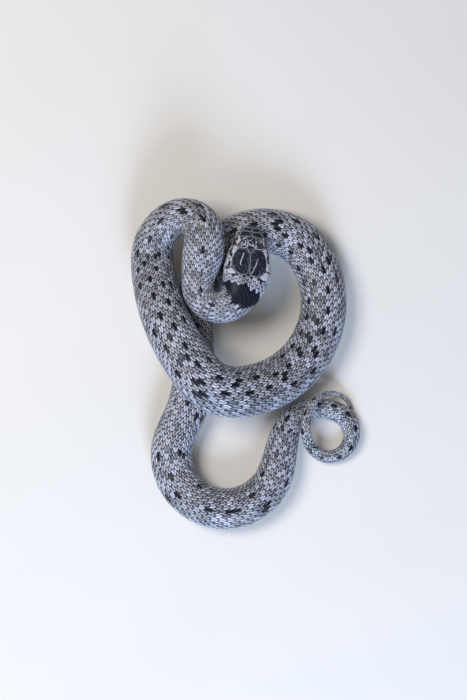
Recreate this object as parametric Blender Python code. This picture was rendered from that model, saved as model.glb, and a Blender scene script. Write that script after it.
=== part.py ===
"""A false smooth snake at life size, lying in a loose coil with its head on top.

The body is one long loft along a backbone and is parted by thin cuts into the head,
the lower jaw, the neck, lengths of trunk and lengths of tail. The backbone is told as a
chain of bends, seen from above, and as the height of the belly over the floor. Places
along the body are distances from the snout, measured along the backbone.

Sizes are in millimetres and degrees, and MM turns them into metres when a mesh is made.
The origin is on the floor, under the middle of the model's outline. +Y is the way the
snout points, +X is to the snake's right at its head, and +Z is up.
"""

import math
from dataclasses import dataclass

import bmesh
import bpy
import numpy as np

MM = 0.001
NAME = "coiled_snake"

# The backbone, seen from above and walked from the snout to the tail tip
START_HEADING = -97.0
BACKBONE_STEP = 0.25
EASE = 6.0


@dataclass(frozen=True)
class Bend:
    """One stretch of the backbone: its length, and its turn, positive to the walker's left."""

    place: str
    length: float
    turn: float


BENDS = (
    Bend("head", 12.0, 3),
    Bend("nape", 7.5, -32),
    Bend("neck hook", 14.5, -158),
    Bend("neck, laid on the coil", 11.0, 7),
    Bend("high loop", 11.5, 122),
    Bend("down to the left side", 11.5, 69),
    Bend("left side, climbing the hidden stretch", 34.0, 35),
    Bend("bottom of the big coil", 10.0, 57),
    Bend("lower right of the big coil", 13.0, 28),
    Bend("right side of the big coil", 35.0, 86),
    Bend("top right of the big coil", 11.0, 47),
    Bend("under the head", 20.5, 77),
    Bend("hidden under the neck", 23.0, 32),
    Bend("out from under the big coil", 20.5, -35),
    Bend("lower loop", 47.0, 199),
    Bend("rise beside the tail", 10.0, -6),
    Bend("vent", 3.0, -36),
    Bend("tail root", 12.5, -68),
    Bend("tail ring", 23.0, -228),
    Bend("tail ring opening", 11.5, -60),
    Bend("tail tip", 10.0, -122),
)

# Height of the belly over the floor, at distances from the snout
NECK_LIFT = 10.1
CROSSING_LIFT = 9.7
TAIL_LIFT = 5.8
LIFTS = (
    (0.0, NECK_LIFT),
    (46.0, NECK_LIFT),
    (58.0, 5.0),
    (69.0, 0.9),
    (79.0, 4.7),
    (86.0, 8.5),
    (94.0, CROSSING_LIFT),
    (103.0, CROSSING_LIFT),
    (112.0, 6.3),
    (121.0, 1.8),
    (130.0, 0.0),
    (322.0, 0.0),
    (327.0, 1.6),
    (332.5, TAIL_LIFT),
    (339.0, TAIL_LIFT),
    (345.0, 2.4),
    (352.0, 0.5),
)

# Width of the body, at distances from the snout
WIDTHS = (
    (15.5, 11.3),
    (20.0, 8.9),
    (26.0, 7.8),
    (33.0, 8.1),
    (42.0, 10.5),
    (53.0, 9.7),
    (70.0, 11.2),
    (112.0, 13.1),
    (146.0, 11.9),
    (178.0, 11.6),
    (192.0, 10.8),
    (206.0, 10.4),
    (226.0, 10.6),
    (260.0, 10.6),
    (275.0, 9.9),
    (288.0, 8.1),
    (300.0, 5.4),
    (309.0, 5.0),
    (320.0, 3.7),
    (336.0, 2.3),
    (352.0, 0.7),
)

# Height of the body as a share of its width
TALLNESS = ((15.5, 0.67), (20.5, 0.82), (26.0, 0.88), (60.0, 0.86), (285.0, 0.86), (300.0, 0.92))
WIDEST_SHARE = 0.42
BELLY_OVERSHOOT = 1.12
BODY_SQUARENESS = 2.1

# The head, at distances from the snout; heights are over and under the lip line
HEAD_LENGTH = 15.5
HEAD_BLEND = 3.5
HEAD_ROLL = 8.0
ROLL_END = 30.0
LIP_HEIGHTS = ((0.0, 11.6), (HEAD_LENGTH, 12.9))
HEAD_HALF_WIDTHS = (
    (0.0, 1.4),
    (0.5, 2.2),
    (1.4, 2.85),
    (3.0, 3.6),
    (6.0, 4.8),
    (8.5, 5.5),
    (11.5, 5.95),
    (14.0, 6.05),
    (15.5, 5.8),
)
HEAD_TOPS = ((0.0, 1.0), (0.6, 1.8), (2.0, 2.6), (4.5, 3.35), (8.0, 3.9), (12.0, 4.2), (15.5, 4.4))
JAW_DEPTHS = ((0.0, 0.5), (0.8, 0.9), (3.0, 1.6), (7.0, 2.3), (11.0, 2.8), (15.5, 3.2))
HEAD_SQUARENESS = 2.8
CHEEK_FILL = ((0.0, 0.0), (1.8, -0.12), (3.2, -0.3), (4.6, 0.12), (6.6, -0.12), (9.5, 0.05), (12.5, 0.2), (15.5, 0.0))
JAW_INSET = 0.25
JAW_START = 0.7
HEAD_STATIONS = (0.0, 0.25, 0.7, 1.4, 2.4, 3.5, 4.6, 5.8, 7.2, 8.8, 10.5, 12.2, 13.9)

EYE_AT = 4.6
EYE_RADIUS = 1.0
EYE_SIDE = 3.5
EYE_OVER_LIP = 1.7
SOCKET_CLEARANCE = 0.15

# Where the body is parted, and how wide a cut is
NECK_CUTS = (15.5, 26.0, 37.0)
TRUNK_CUTS = (
    37.0, 52.0, 62.0, 84.0, 106.0, 128.0, 152.0, 172.0, 190.0, 214.0, 240.0, 258.0, 274.0, 290.0
)  # fmt: skip
TAIL_CUTS = (290.0, 303.0, 312.0, 321.0, 331.0, 342.0, 352.0)
CUT = 0.3
MOUTH_CUT = 0.16

# How finely the solids are faceted
BODY_SIDES = 20
TAIL_SIDES = 14
HALF_HEAD_SIDES = 12
LONGEST_FACET = 5.0
LARGEST_FACET_TURN = 15.0

# Finishes: colour, roughness
SKIN_FINISH = ((0.27, 0.27, 0.30, 1.0), 0.45)
NAPE_FINISH = ((0.05, 0.05, 0.07, 1.0), 0.40)
TAIL_FINISH = ((0.30, 0.29, 0.31, 1.0), 0.45)
JAW_FINISH = ((0.62, 0.55, 0.52, 1.0), 0.45)
EYE_FINISH = ((0.10, 0.06, 0.03, 1.0), 0.08)


def through(stations, at):
    """Value at a distance, on a smooth curve through the stations that never overshoots."""
    where, value = np.array(stations, dtype=float).T
    at = np.clip(at, where[0], where[-1])
    gap = np.diff(where)
    slope = np.diff(value) / gap
    tangent = np.concatenate(([slope[0]], np.zeros(len(slope) - 1), [slope[-1]]))
    for i in range(1, len(slope)):
        if slope[i - 1] * slope[i] > 0.0:
            tangent[i] = 2.0 * slope[i - 1] * slope[i] / (slope[i - 1] + slope[i])
    i = np.clip(np.searchsorted(where, at, side="right") - 1, 0, len(gap) - 1)
    u = (at - where[i]) / gap[i]
    start = (1.0 + 2.0 * u) * (1.0 - u) ** 2 * value[i] + u * (1.0 - u) ** 2 * gap[i] * tangent[i]
    end = u * u * (3.0 - 2.0 * u) * value[i + 1] - u * u * (1.0 - u) * gap[i] * tangent[i + 1]
    return start + end


def eased(curve, at):
    """Mean of a curve over a short stretch round each distance, which rounds off its kinks."""
    return np.mean([curve(at + offset) for offset in np.linspace(-EASE / 2.0, EASE / 2.0, 25)], axis=0)


def lift(at):
    """Height of the belly over the floor."""
    return eased(lambda place: through(LIFTS, place), at)


def ramp(at, low, high):
    """0 before low, 1 after high, and a smooth rise between."""
    u = np.clip((at - low) / (high - low), 0.0, 1.0)
    return u * u * (3.0 - 2.0 * u)


class Backbone:
    """The line the body follows, with its direction at any distance from the snout."""

    def __init__(self):
        ends = np.cumsum([0.0] + [bend.length for bend in BENDS])
        headings = START_HEADING + np.cumsum([0.0] + [bend.turn for bend in BENDS])
        self.length = ends[-1]
        self.at = np.arange(0.0, self.length + BACKBONE_STEP / 2.0, BACKBONE_STEP)
        self.heading = np.radians(eased(lambda at: np.interp(at, ends, headings), self.at))
        middle = (self.heading[1:] + self.heading[:-1]) / 2.0
        self.x = np.concatenate(([0.0], np.cumsum(np.cos(middle)) * BACKBONE_STEP))
        self.y = np.concatenate(([0.0], np.cumsum(np.sin(middle)) * BACKBONE_STEP))
        self.slope = np.arctan(np.gradient(lift(self.at), BACKBONE_STEP))

    def centre_on(self, low, high):
        """Move the line so that a box from low to high has its middle at the origin."""
        self.x = self.x - (low[0] + high[0]) / 2.0
        self.y = self.y - (low[1] + high[1]) / 2.0

    def frame(self, at):
        """Point under the line on the floor, and the section's side and up directions.

        The side direction is the walker's left, which is the snake's own right.
        """
        rows = (self.x, self.y, self.heading, self.slope)
        x, y, heading, slope = (np.interp(at, self.at, row) for row in rows)
        foot = np.array((x, y, 0.0))
        side = np.array((-math.sin(heading), math.cos(heading), 0.0))
        forward_x, forward_y = math.cos(heading), math.sin(heading)
        up = np.array((-math.sin(slope) * forward_x, -math.sin(slope) * forward_y, math.cos(slope)))
        return foot, side, up

    def stations(self, start, end):
        """Distances for the rings from start to end, closer together where the body bends."""
        grid = np.linspace(start, end, 200)
        heading = np.degrees(np.interp(grid, self.at, self.heading))
        turned = np.concatenate(([0.0], np.cumsum(np.abs(np.diff(heading)))))
        effort = (grid - start) / LONGEST_FACET + turned / LARGEST_FACET_TURN
        count = max(2, math.ceil(effort[-1]))
        return np.interp(np.linspace(0.0, effort[-1], count + 1), effort, grid)


@dataclass(frozen=True)
class Section:
    """A cross-section, round its widest line.

    half_width, top and bottom are its reach to the side, over and under that line.
    square_top and square_bottom are 2 for an ellipse and more for a boxier outline.
    overshoot over 1 cuts the belly off flat, and fill swells the sides over the line.
    """

    half_width: float
    top: float
    bottom: float
    square_top: float
    square_bottom: float
    overshoot: float
    widest_height: float
    fill: float = 0.0

    def point(self, angle):
        """Place across and over the widest line, at an angle from one side over the back."""
        across = math.cos(angle)
        over = math.sin(angle)
        square = self.square_top if over >= 0.0 else self.square_bottom
        a = self.half_width * math.copysign(abs(across) ** (2.0 / square), across)
        share = abs(over) ** (2.0 / square)
        if over >= 0.0:
            a += math.copysign(4.0 * share * (1.0 - share) * self.fill, across)
            return a, self.top * share
        return a, -self.bottom * min(1.0, self.overshoot * share)


def body_section(at):
    """Section of the neck, trunk or tail: domed, with the belly flat."""
    width = float(through(WIDTHS, at))
    height = width * float(through(TALLNESS, at))
    bottom = WIDEST_SHARE * height
    widest = float(lift(at)) + bottom
    return Section(width / 2.0, height - bottom, bottom, BODY_SQUARENESS, BODY_SQUARENESS, BELLY_OVERSHOOT, widest)


def head_section(at):
    """Section of the head, which turns into the neck's over its last few millimetres."""
    neck = body_section(HEAD_LENGTH)
    mix = float(ramp(at, HEAD_LENGTH - HEAD_BLEND, HEAD_LENGTH))

    def blend(own, other):
        return own + (other - own) * mix

    return Section(
        blend(float(through(HEAD_HALF_WIDTHS, at)), neck.half_width),
        blend(float(through(HEAD_TOPS, at)), neck.top),
        blend(float(through(JAW_DEPTHS, at)), neck.bottom),
        blend(HEAD_SQUARENESS, neck.square_top),
        blend(HEAD_SQUARENESS, neck.square_bottom),
        blend(1.0, neck.overshoot),
        blend(float(through(LIP_HEIGHTS, at)), neck.widest_height),
        float(through(CHEEK_FILL, at)),
    )


def place(backbone, at, widest_height, a, b):
    """Point of a section in the model's frame; the head and nape roll a little to one side."""
    foot, side, up = backbone.frame(at)
    roll = math.radians(HEAD_ROLL) * (1.0 - float(ramp(at, HEAD_LENGTH, ROLL_END)))
    across = a * math.cos(roll) + b * math.sin(roll)
    over = b * math.cos(roll) - a * math.sin(roll)
    belly = float(lift(at))
    widest = foot + np.array((0.0, 0.0, belly)) + up * (widest_height - belly)
    return widest + side * across + up * over


def body_ring(backbone, at, sides):
    """Closed ring of points round the body."""
    section = body_section(at)
    angles = [2.0 * math.pi * i / sides for i in range(sides)]
    return [place(backbone, at, section.widest_height, *section.point(angle)) for angle in angles]


def half_head_ring(backbone, at, upper):
    """Ring round the upper head or the lower jaw, closed by a flat chord along the mouth."""
    section = head_section(at)
    sign = 1.0 if upper else -1.0
    inset = 0.0 if upper else JAW_INSET * (1.0 - float(ramp(at, HEAD_LENGTH - HEAD_BLEND, HEAD_LENGTH)))
    shrink = 1.0 - inset / section.half_width
    outline = []
    for i in range(HALF_HEAD_SIDES + 1):
        a, b = section.point(sign * math.pi * i / HALF_HEAD_SIDES)
        outline.append((a * shrink, b + sign * MOUTH_CUT / 2.0))
    half = section.half_width * shrink
    chord = [(share * half, sign * MOUTH_CUT / 2.0) for share in (-0.5, 0.0, 0.5)]
    return [place(backbone, at, section.widest_height, a, b) for a, b in outline + chord]


def loft(name, rings, finish, parent, collection):
    """Solid through a list of rings with equal counts, its ends closed by flat faces."""
    rings = np.array(rings)
    middle = (rings.reshape(-1, 3).min(axis=0) + rings.reshape(-1, 3).max(axis=0)) / 2.0
    mesh = bpy.data.meshes.new(name)
    bm = bmesh.new()
    rows = [[bm.verts.new((point - middle) * MM) for point in ring] for ring in rings]
    for row, following in zip(rows[:-1], rows[1:]):
        for i in range(len(row)):
            j = (i + 1) % len(row)
            bm.faces.new((row[i], row[j], following[j], following[i]))
    bm.faces.new(rows[0])
    bm.faces.new(rows[-1])
    bmesh.ops.recalc_face_normals(bm, faces=bm.faces)
    bm.to_mesh(mesh)
    bm.free()
    mesh.shade_smooth()
    mesh.set_sharp_from_angle(angle=math.radians(40.0))
    obj = bpy.data.objects.new(name, mesh)
    obj.location = middle * MM
    return finish_piece(obj, finish, parent, collection)


def finish_piece(obj, finish, parent, collection):
    """Give a piece its own material, its parent and its collection."""
    colour, roughness = finish
    material = bpy.data.materials.new(obj.name)
    material.use_nodes = True
    shader = material.node_tree.nodes["Principled BSDF"]
    shader.inputs["Base Color"].default_value = colour
    shader.inputs["Roughness"].default_value = roughness
    material.diffuse_color = colour
    obj.data.materials.clear()
    obj.data.materials.append(material)
    obj.parent = parent
    collection.objects.link(obj)
    return obj


def make_lengths(backbone, prefix, cuts, sides, finish, parent, collection):
    """Lengths of body between cuts, named in order from the head."""
    for number, (start, end) in enumerate(zip(cuts[:-1], cuts[1:]), start=1):
        last = end >= backbone.length
        stations = backbone.stations(start + CUT / 2.0, end if last else end - CUT / 2.0)
        rings = [body_ring(backbone, at, sides) for at in stations]
        loft(f"{prefix}_{number}", rings, finish, parent, collection)


def ball(name, centre, radius, segments):
    """Ball at a place in the model's frame, in no collection yet."""
    bpy.ops.mesh.primitive_uv_sphere_add(segments=segments, ring_count=segments // 2, radius=radius * MM)
    obj = bpy.context.object
    obj.name = name
    obj.location = centre * MM
    for owner in list(obj.users_collection):
        owner.objects.unlink(obj)
    obj.data.shade_smooth()
    return obj


def make_head(backbone, parent, collection, cutters):
    """Upper head with its two eye sockets, the lower jaw, and the eyes."""
    stations = list(HEAD_STATIONS) + [HEAD_LENGTH - CUT / 2.0]
    upper = [half_head_ring(backbone, at, True) for at in stations]
    lower = [half_head_ring(backbone, at, False) for at in stations if at >= JAW_START]
    head = loft("head", upper, SKIN_FINISH, parent, collection)
    loft("lower_jaw", lower, JAW_FINISH, parent, collection)
    lip = head_section(EYE_AT).widest_height
    for name, side in (("left", -1.0), ("right", 1.0)):
        centre = place(backbone, EYE_AT, lip, side * EYE_SIDE, EYE_OVER_LIP)
        eye = ball(f"eye_{name}", centre, EYE_RADIUS, 16)
        finish_piece(eye, EYE_FINISH, parent, collection)
        cutter = ball(f"socket_{name}", centre, EYE_RADIUS + SOCKET_CLEARANCE, 16)
        cutter.hide_render = True
        cutter.display_type = "WIRE"
        cutters.objects.link(cutter)
        socket = head.modifiers.new(f"socket_{name}", "BOOLEAN")
        socket.operation = "DIFFERENCE"
        socket.object = cutter


def outline_box(backbone):
    """Lowest and highest corners of the whole body, from its rings."""
    grid = np.arange(HEAD_LENGTH, backbone.length, 1.0)
    points = np.array([body_ring(backbone, at, BODY_SIDES) for at in grid]).reshape(-1, 3)
    return points.min(axis=0), points.max(axis=0)


def clear_scene():
    """Remove every object, so that the script starts from nothing."""
    for obj in list(bpy.data.objects):
        bpy.data.objects.remove(obj, do_unlink=True)


def main():
    """Lay the backbone, then make the head, the neck, the trunk and the tail along it."""
    clear_scene()
    collection = bpy.data.collections.new(NAME)
    cutters = bpy.data.collections.new(f"{NAME}_cutters")
    bpy.context.scene.collection.children.link(collection)
    bpy.context.scene.collection.children.link(cutters)
    rest = bpy.data.objects.new(f"{NAME}_rest", None)
    collection.objects.link(rest)

    backbone = Backbone()
    backbone.centre_on(*outline_box(backbone))
    make_head(backbone, rest, collection, cutters)
    make_lengths(backbone, "neck", NECK_CUTS, BODY_SIDES, NAPE_FINISH, rest, collection)
    make_lengths(backbone, "trunk", TRUNK_CUTS, BODY_SIDES, SKIN_FINISH, rest, collection)
    make_lengths(backbone, "tail", TAIL_CUTS, TAIL_SIDES, TAIL_FINISH, rest, collection)


main()
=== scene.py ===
"""Looks of a life-size false smooth snake, lying in a loose coil with its head on top.

One skin follows the backbone from the snout to the tail tip and stands for the solids of
the head, neck, trunk and tail. Scales lie over it as solid mesh: rows of narrow scales on
the back and flanks, broad scutes under the belly, paired ones under the tail, and large
shields on the head. The eyes are pieces of their own.

Places along the body are distances from the snout, in millimetres, along the backbone.
The place round the body is told in two ways. The girth runs from -2 to 2: 0 is the middle
of the back, 1 and -1 are the lips and the widest line on the snake's right and left, and
2 or -2 is the middle of the belly. The turn is the same as a share of the way round, from
0 at the middle of the belly over the snake's left side, with 0.5 on the back.
"""

import logging
import math
from collections.abc import Callable, Mapping, Sequence
from dataclasses import dataclass, field
from enum import Enum
from typing import ClassVar

import bpy
import numpy as np
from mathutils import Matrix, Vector
from mathutils.geometry import delaunay_2d_cdt


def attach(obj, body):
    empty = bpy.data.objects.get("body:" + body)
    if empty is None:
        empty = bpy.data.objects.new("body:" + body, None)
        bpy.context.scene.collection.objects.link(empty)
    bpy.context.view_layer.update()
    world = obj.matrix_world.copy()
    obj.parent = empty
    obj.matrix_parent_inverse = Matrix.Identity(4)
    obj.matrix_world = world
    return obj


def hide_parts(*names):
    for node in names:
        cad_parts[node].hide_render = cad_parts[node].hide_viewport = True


LOG = logging.getLogger("coiled_snake")
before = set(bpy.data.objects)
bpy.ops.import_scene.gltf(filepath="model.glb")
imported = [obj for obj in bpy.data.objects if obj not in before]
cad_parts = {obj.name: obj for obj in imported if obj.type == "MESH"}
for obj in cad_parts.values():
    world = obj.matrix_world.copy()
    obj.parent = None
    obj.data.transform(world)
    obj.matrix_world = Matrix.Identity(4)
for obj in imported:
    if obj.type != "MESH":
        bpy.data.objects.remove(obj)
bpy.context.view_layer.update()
MM = 0.001
SEED = 11

Array = np.ndarray
Stations = Sequence[tuple[float, float]]
Colour = tuple[float, float, float]

# The backbone as a chain of bends: length in mm and turn in degrees, to the walker's left
START_HEADING = -97.0
BACKBONE_STEP = 0.25
EASE = 6.0
BENDS = (
    (12.0, 3), (7.5, -32), (14.5, -158), (11.0, 7), (11.5, 122), (11.5, 69), (34.0, 35),
    (10.0, 57), (13.0, 28), (35.0, 86), (11.0, 47), (20.5, 77), (23.0, 32), (20.5, -35),
    (47.0, 199), (10.0, -6), (3.0, -36), (12.5, -68), (23.0, -228), (11.5, -60), (10.0, -122),
)  # fmt: skip
NECK_LIFT = 10.1
CROSSING_LIFT = 9.7
TAIL_LIFT = 5.8
LIFTS = (
    (0.0, NECK_LIFT), (46.0, NECK_LIFT), (58.0, 5.0), (69.0, 0.9), (79.0, 4.7), (86.0, 8.5),
    (94.0, CROSSING_LIFT), (103.0, CROSSING_LIFT), (112.0, 6.3), (121.0, 1.8), (130.0, 0.0),
    (322.0, 0.0), (327.0, 1.6), (332.5, TAIL_LIFT), (339.0, TAIL_LIFT), (345.0, 2.4), (352.0, 0.5),
)  # fmt: skip
WIDTHS = (
    (15.5, 11.3), (20.0, 8.9), (26.0, 7.8), (33.0, 8.1), (42.0, 10.5), (53.0, 9.7), (70.0, 11.2),
    (112.0, 13.1), (146.0, 11.9), (178.0, 11.6), (192.0, 10.8), (206.0, 10.4), (226.0, 10.6),
    (260.0, 10.6), (275.0, 9.9), (288.0, 8.1), (300.0, 5.4), (309.0, 5.0), (320.0, 3.7),
    (336.0, 2.3), (352.0, 0.7),
)  # fmt: skip
TALLNESS = ((15.5, 0.67), (20.5, 0.82), (26.0, 0.88), (60.0, 0.86), (285.0, 0.86), (300.0, 0.92))
WIDEST_SHARE = 0.42
GIRTH_SHARE = 0.99
# A ring leans by this share of the body's slope, evened out over this reach, so that none
# crowd on the inside of a steep bend
TILT_SHARE = 0.5
TILT_REACH = 10.0
# The solids' rings: one each mm, of this many corners
RING_STEP = 1.0
RING_CORNERS = 20
BELLY_OVERSHOOT = 1.12
BODY_SQUARENESS = 2.1

# The head's sections; heights are over and under the lip line
HEAD_LENGTH = 15.5
HEAD_BLEND = 3.5
HEAD_ROLL = 8.0
ROLL_END = 30.0
LIP_HEIGHTS = ((0.0, 11.6), (HEAD_LENGTH, 12.9))
HEAD_HALF_WIDTHS = (
    (0.0, 1.4), (0.5, 2.2), (1.4, 2.85), (3.0, 3.6), (6.0, 4.8), (8.5, 5.5), (11.5, 5.95),
    (14.0, 6.05), (15.5, 5.8),
)  # fmt: skip
HEAD_TOPS = ((0.0, 1.0), (0.6, 1.8), (2.0, 2.6), (4.5, 3.35), (8.0, 3.9), (12.0, 4.2), (15.5, 4.4))
JAW_DEPTHS = ((0.0, 0.5), (0.8, 0.9), (3.0, 1.6), (7.0, 2.3), (11.0, 2.8), (15.5, 3.2))
HEAD_SQUARENESS = 2.8
CHEEK_FILL = (
    (0.0, 0.0), (1.8, -0.12), (3.2, -0.3), (4.6, 0.12), (6.6, -0.12), (9.5, 0.05), (12.5, 0.2),
    (15.5, 0.0),
)  # fmt: skip
JAW_INSET = 0.25
EYE_AT = 4.6
EYE_RADIUS = 1.0
EYE_SIDE = 3.5
EYE_OVER_LIP = 1.7
EYE_LOOKS_UP = 0.28
EYE_LOOKS_AHEAD = 0.22

# Round each eye: height over the skin, distance from the eye's middle and half width of a ring
LID_GROOVE = (-0.16, 0.98, 0.10)
LID_RIM = (0.10, 1.22, 0.12)
SOCKET_DEPTH = 0.30
SOCKET_EDGE = (0.6, 0.95)
LID_REACH = 2.5
# The line of the mouth: where it starts and ends, how deep it is and half its width
MOUTH = (0.5, 1.2, 12.6, 13.6)
MOUTH_DEPTH = 0.14
MOUTH_HALF_WIDTH = 0.11

# The skin: how deep it lies under the solids, and its rings
SNOUT_CAP = 0.3
COAT_DEPTHS = ((0.0, 0.14), (14.0, 0.16), (24.0, 0.20), (285.0, 0.22), (312.0, 0.16), (352.0, 0.07))
HEAD_RING_GAP = 0.15
BODY_RING_GAP = 0.6
TAIL_RING_GAP = 0.45
FINE_RINGS_END = 17.0
TAIL_ROOT = 290.0
UPPER_FACES = 30
LOWER_FACES = 22
LIP_LINES = np.array((0.008, 0.02))


class Slot(Enum):
    """The record's material slots."""

    HEAD = "head_scales"
    BACK = "back_scales"
    BELLY = "belly_scales"
    EYE = "eye"


class Side(Enum):
    """Side of the snake, with the sign of the girth there."""

    LEFT = -1.0
    RIGHT = 1.0


# ---------------------------------------------------------------- curves and the backbone


def through(stations: Stations, at: Array | float) -> Array:
    """Read a smooth curve that never goes past its stations' values.

    Args:
        stations: Places and values, in order.
        at: Places to read the curve at.

    Returns:
        The values there.
    """
    where, value = np.array(stations, dtype=float).T
    at = np.clip(at, where[0], where[-1])
    gap = np.diff(where)
    slope = np.diff(value) / gap
    tangent = np.concatenate(([slope[0]], np.zeros(len(slope) - 1), [slope[-1]]))
    for i in range(1, len(slope)):
        if slope[i - 1] * slope[i] > 0.0:
            tangent[i] = 2.0 * slope[i - 1] * slope[i] / (slope[i - 1] + slope[i])
    i = np.clip(np.searchsorted(where, at, side="right") - 1, 0, len(gap) - 1)
    u = (at - where[i]) / gap[i]
    start = (1.0 + 2.0 * u) * (1.0 - u) ** 2 * value[i] + u * (1.0 - u) ** 2 * gap[i] * tangent[i]
    end = u * u * (3.0 - 2.0 * u) * value[i + 1] - u * u * (1.0 - u) * gap[i] * tangent[i + 1]
    return start + end


def eased(curve: Callable[[Array], Array], at: Array) -> Array:
    """Mean of a curve over a short stretch round each place, which rounds off its kinks."""
    offsets = np.linspace(-EASE / 2.0, EASE / 2.0, 25)
    return np.mean([curve(at + offset) for offset in offsets], axis=0)


def ramp(at: Array | float, low: float, high: float) -> Array:
    """0 before low, 1 after high, and a smooth rise between."""
    u = np.clip((at - low) / (high - low), 0.0, 1.0)
    return u * u * (3.0 - 2.0 * u)


def window(at: Array, *edges: Array | float) -> Array:
    """A smooth rise between the first two edges and a smooth fall between the last two, 0 outside."""
    low, high, full, end = edges
    return ramp(at, low, high) * (1.0 - ramp(at, full, end))


def bump(at: Array, middle: float, reach: float) -> Array:
    """1 at the middle, falling off smoothly on both sides of it."""
    return np.exp(-(((at - middle) / reach) ** 2))


def lift(at: Array) -> Array:
    """Height of the belly over the floor."""
    return eased(lambda place: through(LIFTS, place), at)


class Backbone:
    """The line the body follows, with its direction at any place."""

    def __init__(self) -> None:
        """Join the bends to one line on the floor, and read its slope from the lifts."""
        ends = np.cumsum([0.0] + [length for length, _ in BENDS])
        headings = START_HEADING + np.cumsum([0.0] + [turn for _, turn in BENDS])
        self.length = float(ends[-1])
        self.at = np.arange(0.0, self.length + BACKBONE_STEP / 2.0, BACKBONE_STEP)
        self.heading = np.radians(eased(lambda at: np.interp(at, ends, headings), self.at))
        middle = (self.heading[1:] + self.heading[:-1]) / 2.0
        self.x = np.concatenate(([0.0], np.cumsum(np.cos(middle)) * BACKBONE_STEP))
        self.y = np.concatenate(([0.0], np.cumsum(np.sin(middle)) * BACKBONE_STEP))
        self.slope = np.arctan(np.gradient(lift(self.at), BACKBONE_STEP))

    def ease_tilt(self) -> None:
        """Lean the rings less than the solids' sections, so that none crowd in a steep bend."""
        reach = int(TILT_REACH / BACKBONE_STEP)
        weights = np.hanning(2 * reach + 1)
        padded = np.pad(self.slope, reach, mode="edge")
        self.slope = TILT_SHARE * np.convolve(padded, weights / weights.sum(), "valid")

    def frames(self, at: Array) -> tuple[Array, Array, Array, Array]:
        """Read the line's frame at many places.

        Args:
            at: Places along the body; those in front of the snout run straight on.

        Returns:
            Points under the line on the floor, and the forward, side and up directions. The
            line runs from the snout to the tail, so its left side is the snake's own right.
        """
        rows = (self.x, self.y, self.heading, self.slope)
        x, y, heading, slope = (np.interp(at, self.at, row) for row in rows)
        nought = np.zeros_like(x)
        forward = np.stack([np.cos(heading), np.sin(heading), nought], axis=-1)
        side = np.stack([-np.sin(heading), np.cos(heading), nought], axis=-1)
        lean = -np.sin(slope)
        up = np.stack([lean * np.cos(heading), lean * np.sin(heading), np.cos(slope)], axis=-1)
        foot = np.stack([x, y, nought], axis=-1) + forward * np.minimum(at, 0.0)[:, None]
        return foot, forward, side, up


@dataclass
class Sections:
    """Cross-sections at many places, round their widest lines, as the solids have them.

    Attributes:
        at: The places.
        half_width, top, bottom: Reach to each side of the widest line, over it and under it.
        squareness: 2 for an ellipse, more for a squarer outline.
        overshoot: How far the underside would reach if the floor didn't flatten it, as a share.
        widest: Height of the widest line over the floor.
        fill: How much the cheeks swell out, or fall in below 0.
        jaw_share: Width of the jaw's edge, as a share of the upper lip's.
    """

    at: Array
    half_width: Array = field(init=False)
    top: Array = field(init=False)
    bottom: Array = field(init=False)
    squareness: Array = field(init=False)
    overshoot: Array = field(init=False)
    widest: Array = field(init=False)
    fill: Array = field(init=False)
    jaw_share: Array = field(init=False)

    def __post_init__(self) -> None:
        """Work out the head's and the body's sections and blend them behind the jaw."""
        body_at = np.maximum(self.at, HEAD_LENGTH)
        width = through(WIDTHS, body_at)
        height = width * through(TALLNESS, body_at)
        bottom = WIDEST_SHARE * height
        mix = ramp(self.at, HEAD_LENGTH - HEAD_BLEND, HEAD_LENGTH)
        cap = np.sqrt(np.clip(1.0 - (np.minimum(self.at, 0.0) / SNOUT_CAP) ** 2, 0.0, 1.0))

        def blend(head: Array | float, body: Array | float) -> Array:
            """Change over from the head's value to the body's."""
            return head + (body - head) * mix

        self.half_width = blend(through(HEAD_HALF_WIDTHS, self.at) * cap, width / 2.0)
        self.top = blend(through(HEAD_TOPS, self.at) * cap, height - bottom)
        self.bottom = blend(through(JAW_DEPTHS, self.at) * cap, bottom)
        self.squareness = blend(HEAD_SQUARENESS, BODY_SQUARENESS)
        self.overshoot = blend(1.0, BELLY_OVERSHOOT)
        self.widest = blend(through(LIP_HEIGHTS, self.at), lift(body_at) + bottom)
        self.fill = np.where(self.at < HEAD_LENGTH, through(CHEEK_FILL, self.at), 0.0)
        inset = JAW_INSET * (1.0 - mix) * ramp(self.at, 0.0, 1.0)
        self.jaw_share = 1.0 - inset / np.maximum(self.half_width, 0.5)

    def point(self, row: int, angle: Array) -> tuple[Array, Array]:
        """Read points of one section.

        Args:
            row: The section's number.
            angle: Angles from the snake's right side over the back.

        Returns:
            The points' places across and over the widest line.
        """
        across, over = np.cos(angle), np.sin(angle)
        power = 2.0 / self.squareness[row]
        a = self.half_width[row] * np.copysign(np.abs(across) ** power, across)
        share = np.abs(over) ** power
        swell = np.copysign(4.0 * share * (1.0 - share) * self.fill[row], across)
        above = over >= 0.0
        jaw = 1.0 + (self.jaw_share[row] - 1.0) * ramp(share, 0.0, 0.12)
        under = -self.bottom[row] * np.minimum(1.0, self.overshoot[row] * share)
        return np.where(above, a + swell, a * jaw), np.where(above, self.top[row] * share, under)


def rolled_over(across: Array | float, over: Array | float, roll: float) -> tuple[Array, Array]:
    """Places across and over the widest line, turned by the head's roll."""
    turned = across * math.cos(roll) + over * math.sin(roll)
    return turned, over * math.cos(roll) - across * math.sin(roll)


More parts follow.
